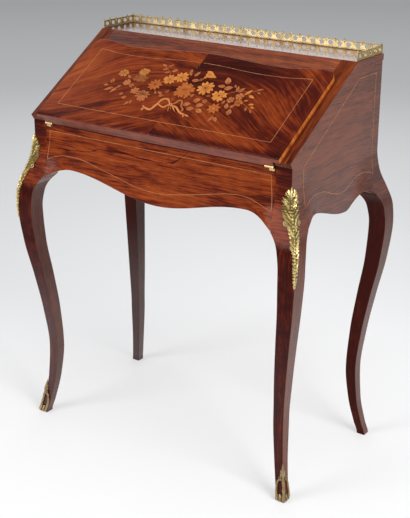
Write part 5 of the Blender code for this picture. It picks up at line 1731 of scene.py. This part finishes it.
for side_name, side in SIDES.items():
    rings, hollow_shade_and_tarnish = [], []
    for share in spread(0.0, 1.0, 16):
        ring = []
        for q in spread(-1.0, 1.0, 48):
            out = smooth(SHOE_RELIEF, share) * (0.60 + 0.40 * shoe_flute(q)) * (1.0 - 0.45 * abs(q) ** 3)
            ring.append(on_shoe(side, share, q, MOUNT_SEAT + out))
        rings.append(ring + [on_shoe(side, share, q, 0.0) for q in spread(1.0, -1.0, 12)])
        # Low places between the flutes, and the hidden inner side, darken: tarnish and painted shade.
        hollow_shade_and_tarnish.append([1.0 - shoe_flute(q) for q in spread(-1.0, 1.0, 48)] + [1.0] * 13)
    shape = new_casting(rings, hollow_shade_and_tarnish)
    rib = [on_corner(side, z, 0.0, 0.0012 + 0.0006 * math.sin(z * 60.0)) for z in spread(*TOE_RIB, 26)]
    tube(shape, rib, [0.0036 - 0.0008 * abs(math.sin(i * 0.32)) for i in range(27)])
    for face in (-1, 1):
        path = []
        for share in spread(0.0, 1.0, 30):
            z = ARM_FOOT + ARM_RISE * math.sin(math.pi / 2 * share)
            across = face * (ARM_IN + ARM_SPREAD * math.cos(math.pi / 2 * share) ** 0.6)
            path.append(on_corner(side, z, across, 0.0018))
        tube(shape, path, [0.0030 - 0.0006 * share for share in spread(0.0, 1.0, 30)])
        tube(shape, *volute(side, face, *TOE_SCROLL))
        for z, reach in SIDE_LEAVES:
            path = []
            for share in spread(0.0, 1.0, 6):
                across = face * reach * math.sin(math.pi * 0.60 * share)
                path.append(on_corner(side, z + 0.008 * share, across, 0.0020 - 0.0008 * share))
            tube(shape, path, SIDE_LEAF_RADII)
    tube(shape, [on_corner(side, z, 0.0, 0.0012) for z in spread(*TOE_TIP, 8)], TIP_RADII)
    name = f"toe_cap_{side_name}"
    add_piece(f"{name}_casting", finished(shape, 60.0), [toe_gilt], [name])


# Room
# A pale floor that greys with distance, soft panels of light behind, above, in front, to the right and to
# the left, and the camera where the photograph was taken from.
# The floor's tone, near white by the desk and greying with distance, is painted falloff of the light.
FLOOR_TONES = (  # share of the reach from the middle of the desk, grey
    (0.000, 0.97), (0.034, 0.97), (0.054, 0.97), (0.079, 0.92), (0.124, 0.83), (0.188, 0.75), (0.262, 0.68),
    (0.370, 0.63), (0.490, 0.54), (1.000, 0.50),
)
FLOOR_REACH = 14.0
FLOOR_GLOW = 0.36  # share of the floor's own tone in what the camera sees; the rest takes light and shadow
shape = bmesh.new()
bmesh.ops.create_circle(shape, cap_ends=True, segments=64, radius=FLOOR_REACH)
floor = in_room("floor", finished(shape))
floor_paper, (x, y, z) = new_finish("floor_paper")
off = x.math("SQRT", x * x + y * y) / FLOOR_REACH
painted_falloff_tone = off.ramp([(share, (grey, grey, grey)) for share, grey in FLOOR_TONES])
coat(floor_paper, Base_Color=painted_falloff_tone, Roughness=0.9, Specular_IOR_Level=0.0)
# The floor glows with its own tone for the camera and in reflections: painted light over the lamps' light and
# shadow.
seen = x.node("LightPath", out="Is Camera Ray") + x.node("LightPath", out="Is Glossy Ray")
glow = x.node("Emission", None, {"Color": painted_falloff_tone, "Strength": 1.0})
paper = Shade(floor_paper.node_tree, floor_paper.node_tree.nodes["Principled BSDF"].outputs[0])
lit = x.node("MixShader", None, {0: seen * FLOOR_GLOW, 1: paper, 2: glow})
floor_paper.node_tree.links.new(lit.socket, floor_paper.node_tree.nodes["Material Output"].inputs["Surface"])
floor.data.materials.append(floor_paper)

world = bpy.data.worlds.new("studio")
bpy.context.scene.world = world
world.use_nodes = True
backing = world.node_tree.nodes["Background"]
backing.inputs["Color"].default_value = (0.98, 1.01, 1.06, 1.0)
backing.inputs["Strength"].default_value = 0.41

PANELS = {  # place, point that it is turned to, width, height, brightness
    "light_behind": ((-1.75, 2.55, 2.05), (0.0, 0.1, 0.9), 2.6, 1.3, 1.5),
    "light_above": ((0.6, -0.3, 3.4), (0.2, 0.0, 0.0), 2.4, 2.4, 0.8),
    "light_front": ((-1.4, -2.7, 1.4), (0.0, 0.0, 0.5), 1.4, 1.4, 7.0),
    "light_right": ((2.60, -0.90, 2.30), (0.0, 0.0, 0.4), 1.5, 1.5, 8.4),
    "light_left": ((-2.75, 0.2, 2.7), (0.0, 0.0, 0.8), 1.2, 1.3, 0.9),
}
for name, (place, aim, wide, high, brightness) in PANELS.items():
    lamp = bpy.data.lights.new(name, "AREA")
    lamp.shape = "RECTANGLE"
    lamp.size = wide
    lamp.size_y = high
    lamp.energy = brightness * math.pi * wide * high
    panel = in_room(name, lamp)
    panel.location = place
    panel.rotation_euler = (Vector(aim) - Vector(place)).to_track_quat("-Z", "Y").to_euler()
    panel.visible_camera = False

CAMERA_PLACE = (1.44977, -2.01585, 1.36407)
CAMERA_TURNS = ((35.5637, "Z"), (90.0 - 20.8107, "X"), (0.2533, "Z"))  # azimuth, elevation, roll
lens = bpy.data.cameras.new("camera")
lens.sensor_width = 36.0
lens.lens = 80.353
lens.clip_start = 0.05
lens.clip_end = 60.0
camera = in_room("camera", lens)
stood = Matrix.Translation(CAMERA_PLACE)
for degrees, axis in CAMERA_TURNS:
    stood = stood @ Matrix.Rotation(math.radians(degrees), 4, axis)
camera.matrix_world = stood
bpy.context.scene.camera = camera
bpy.context.scene.view_settings.view_transform = "Standard"
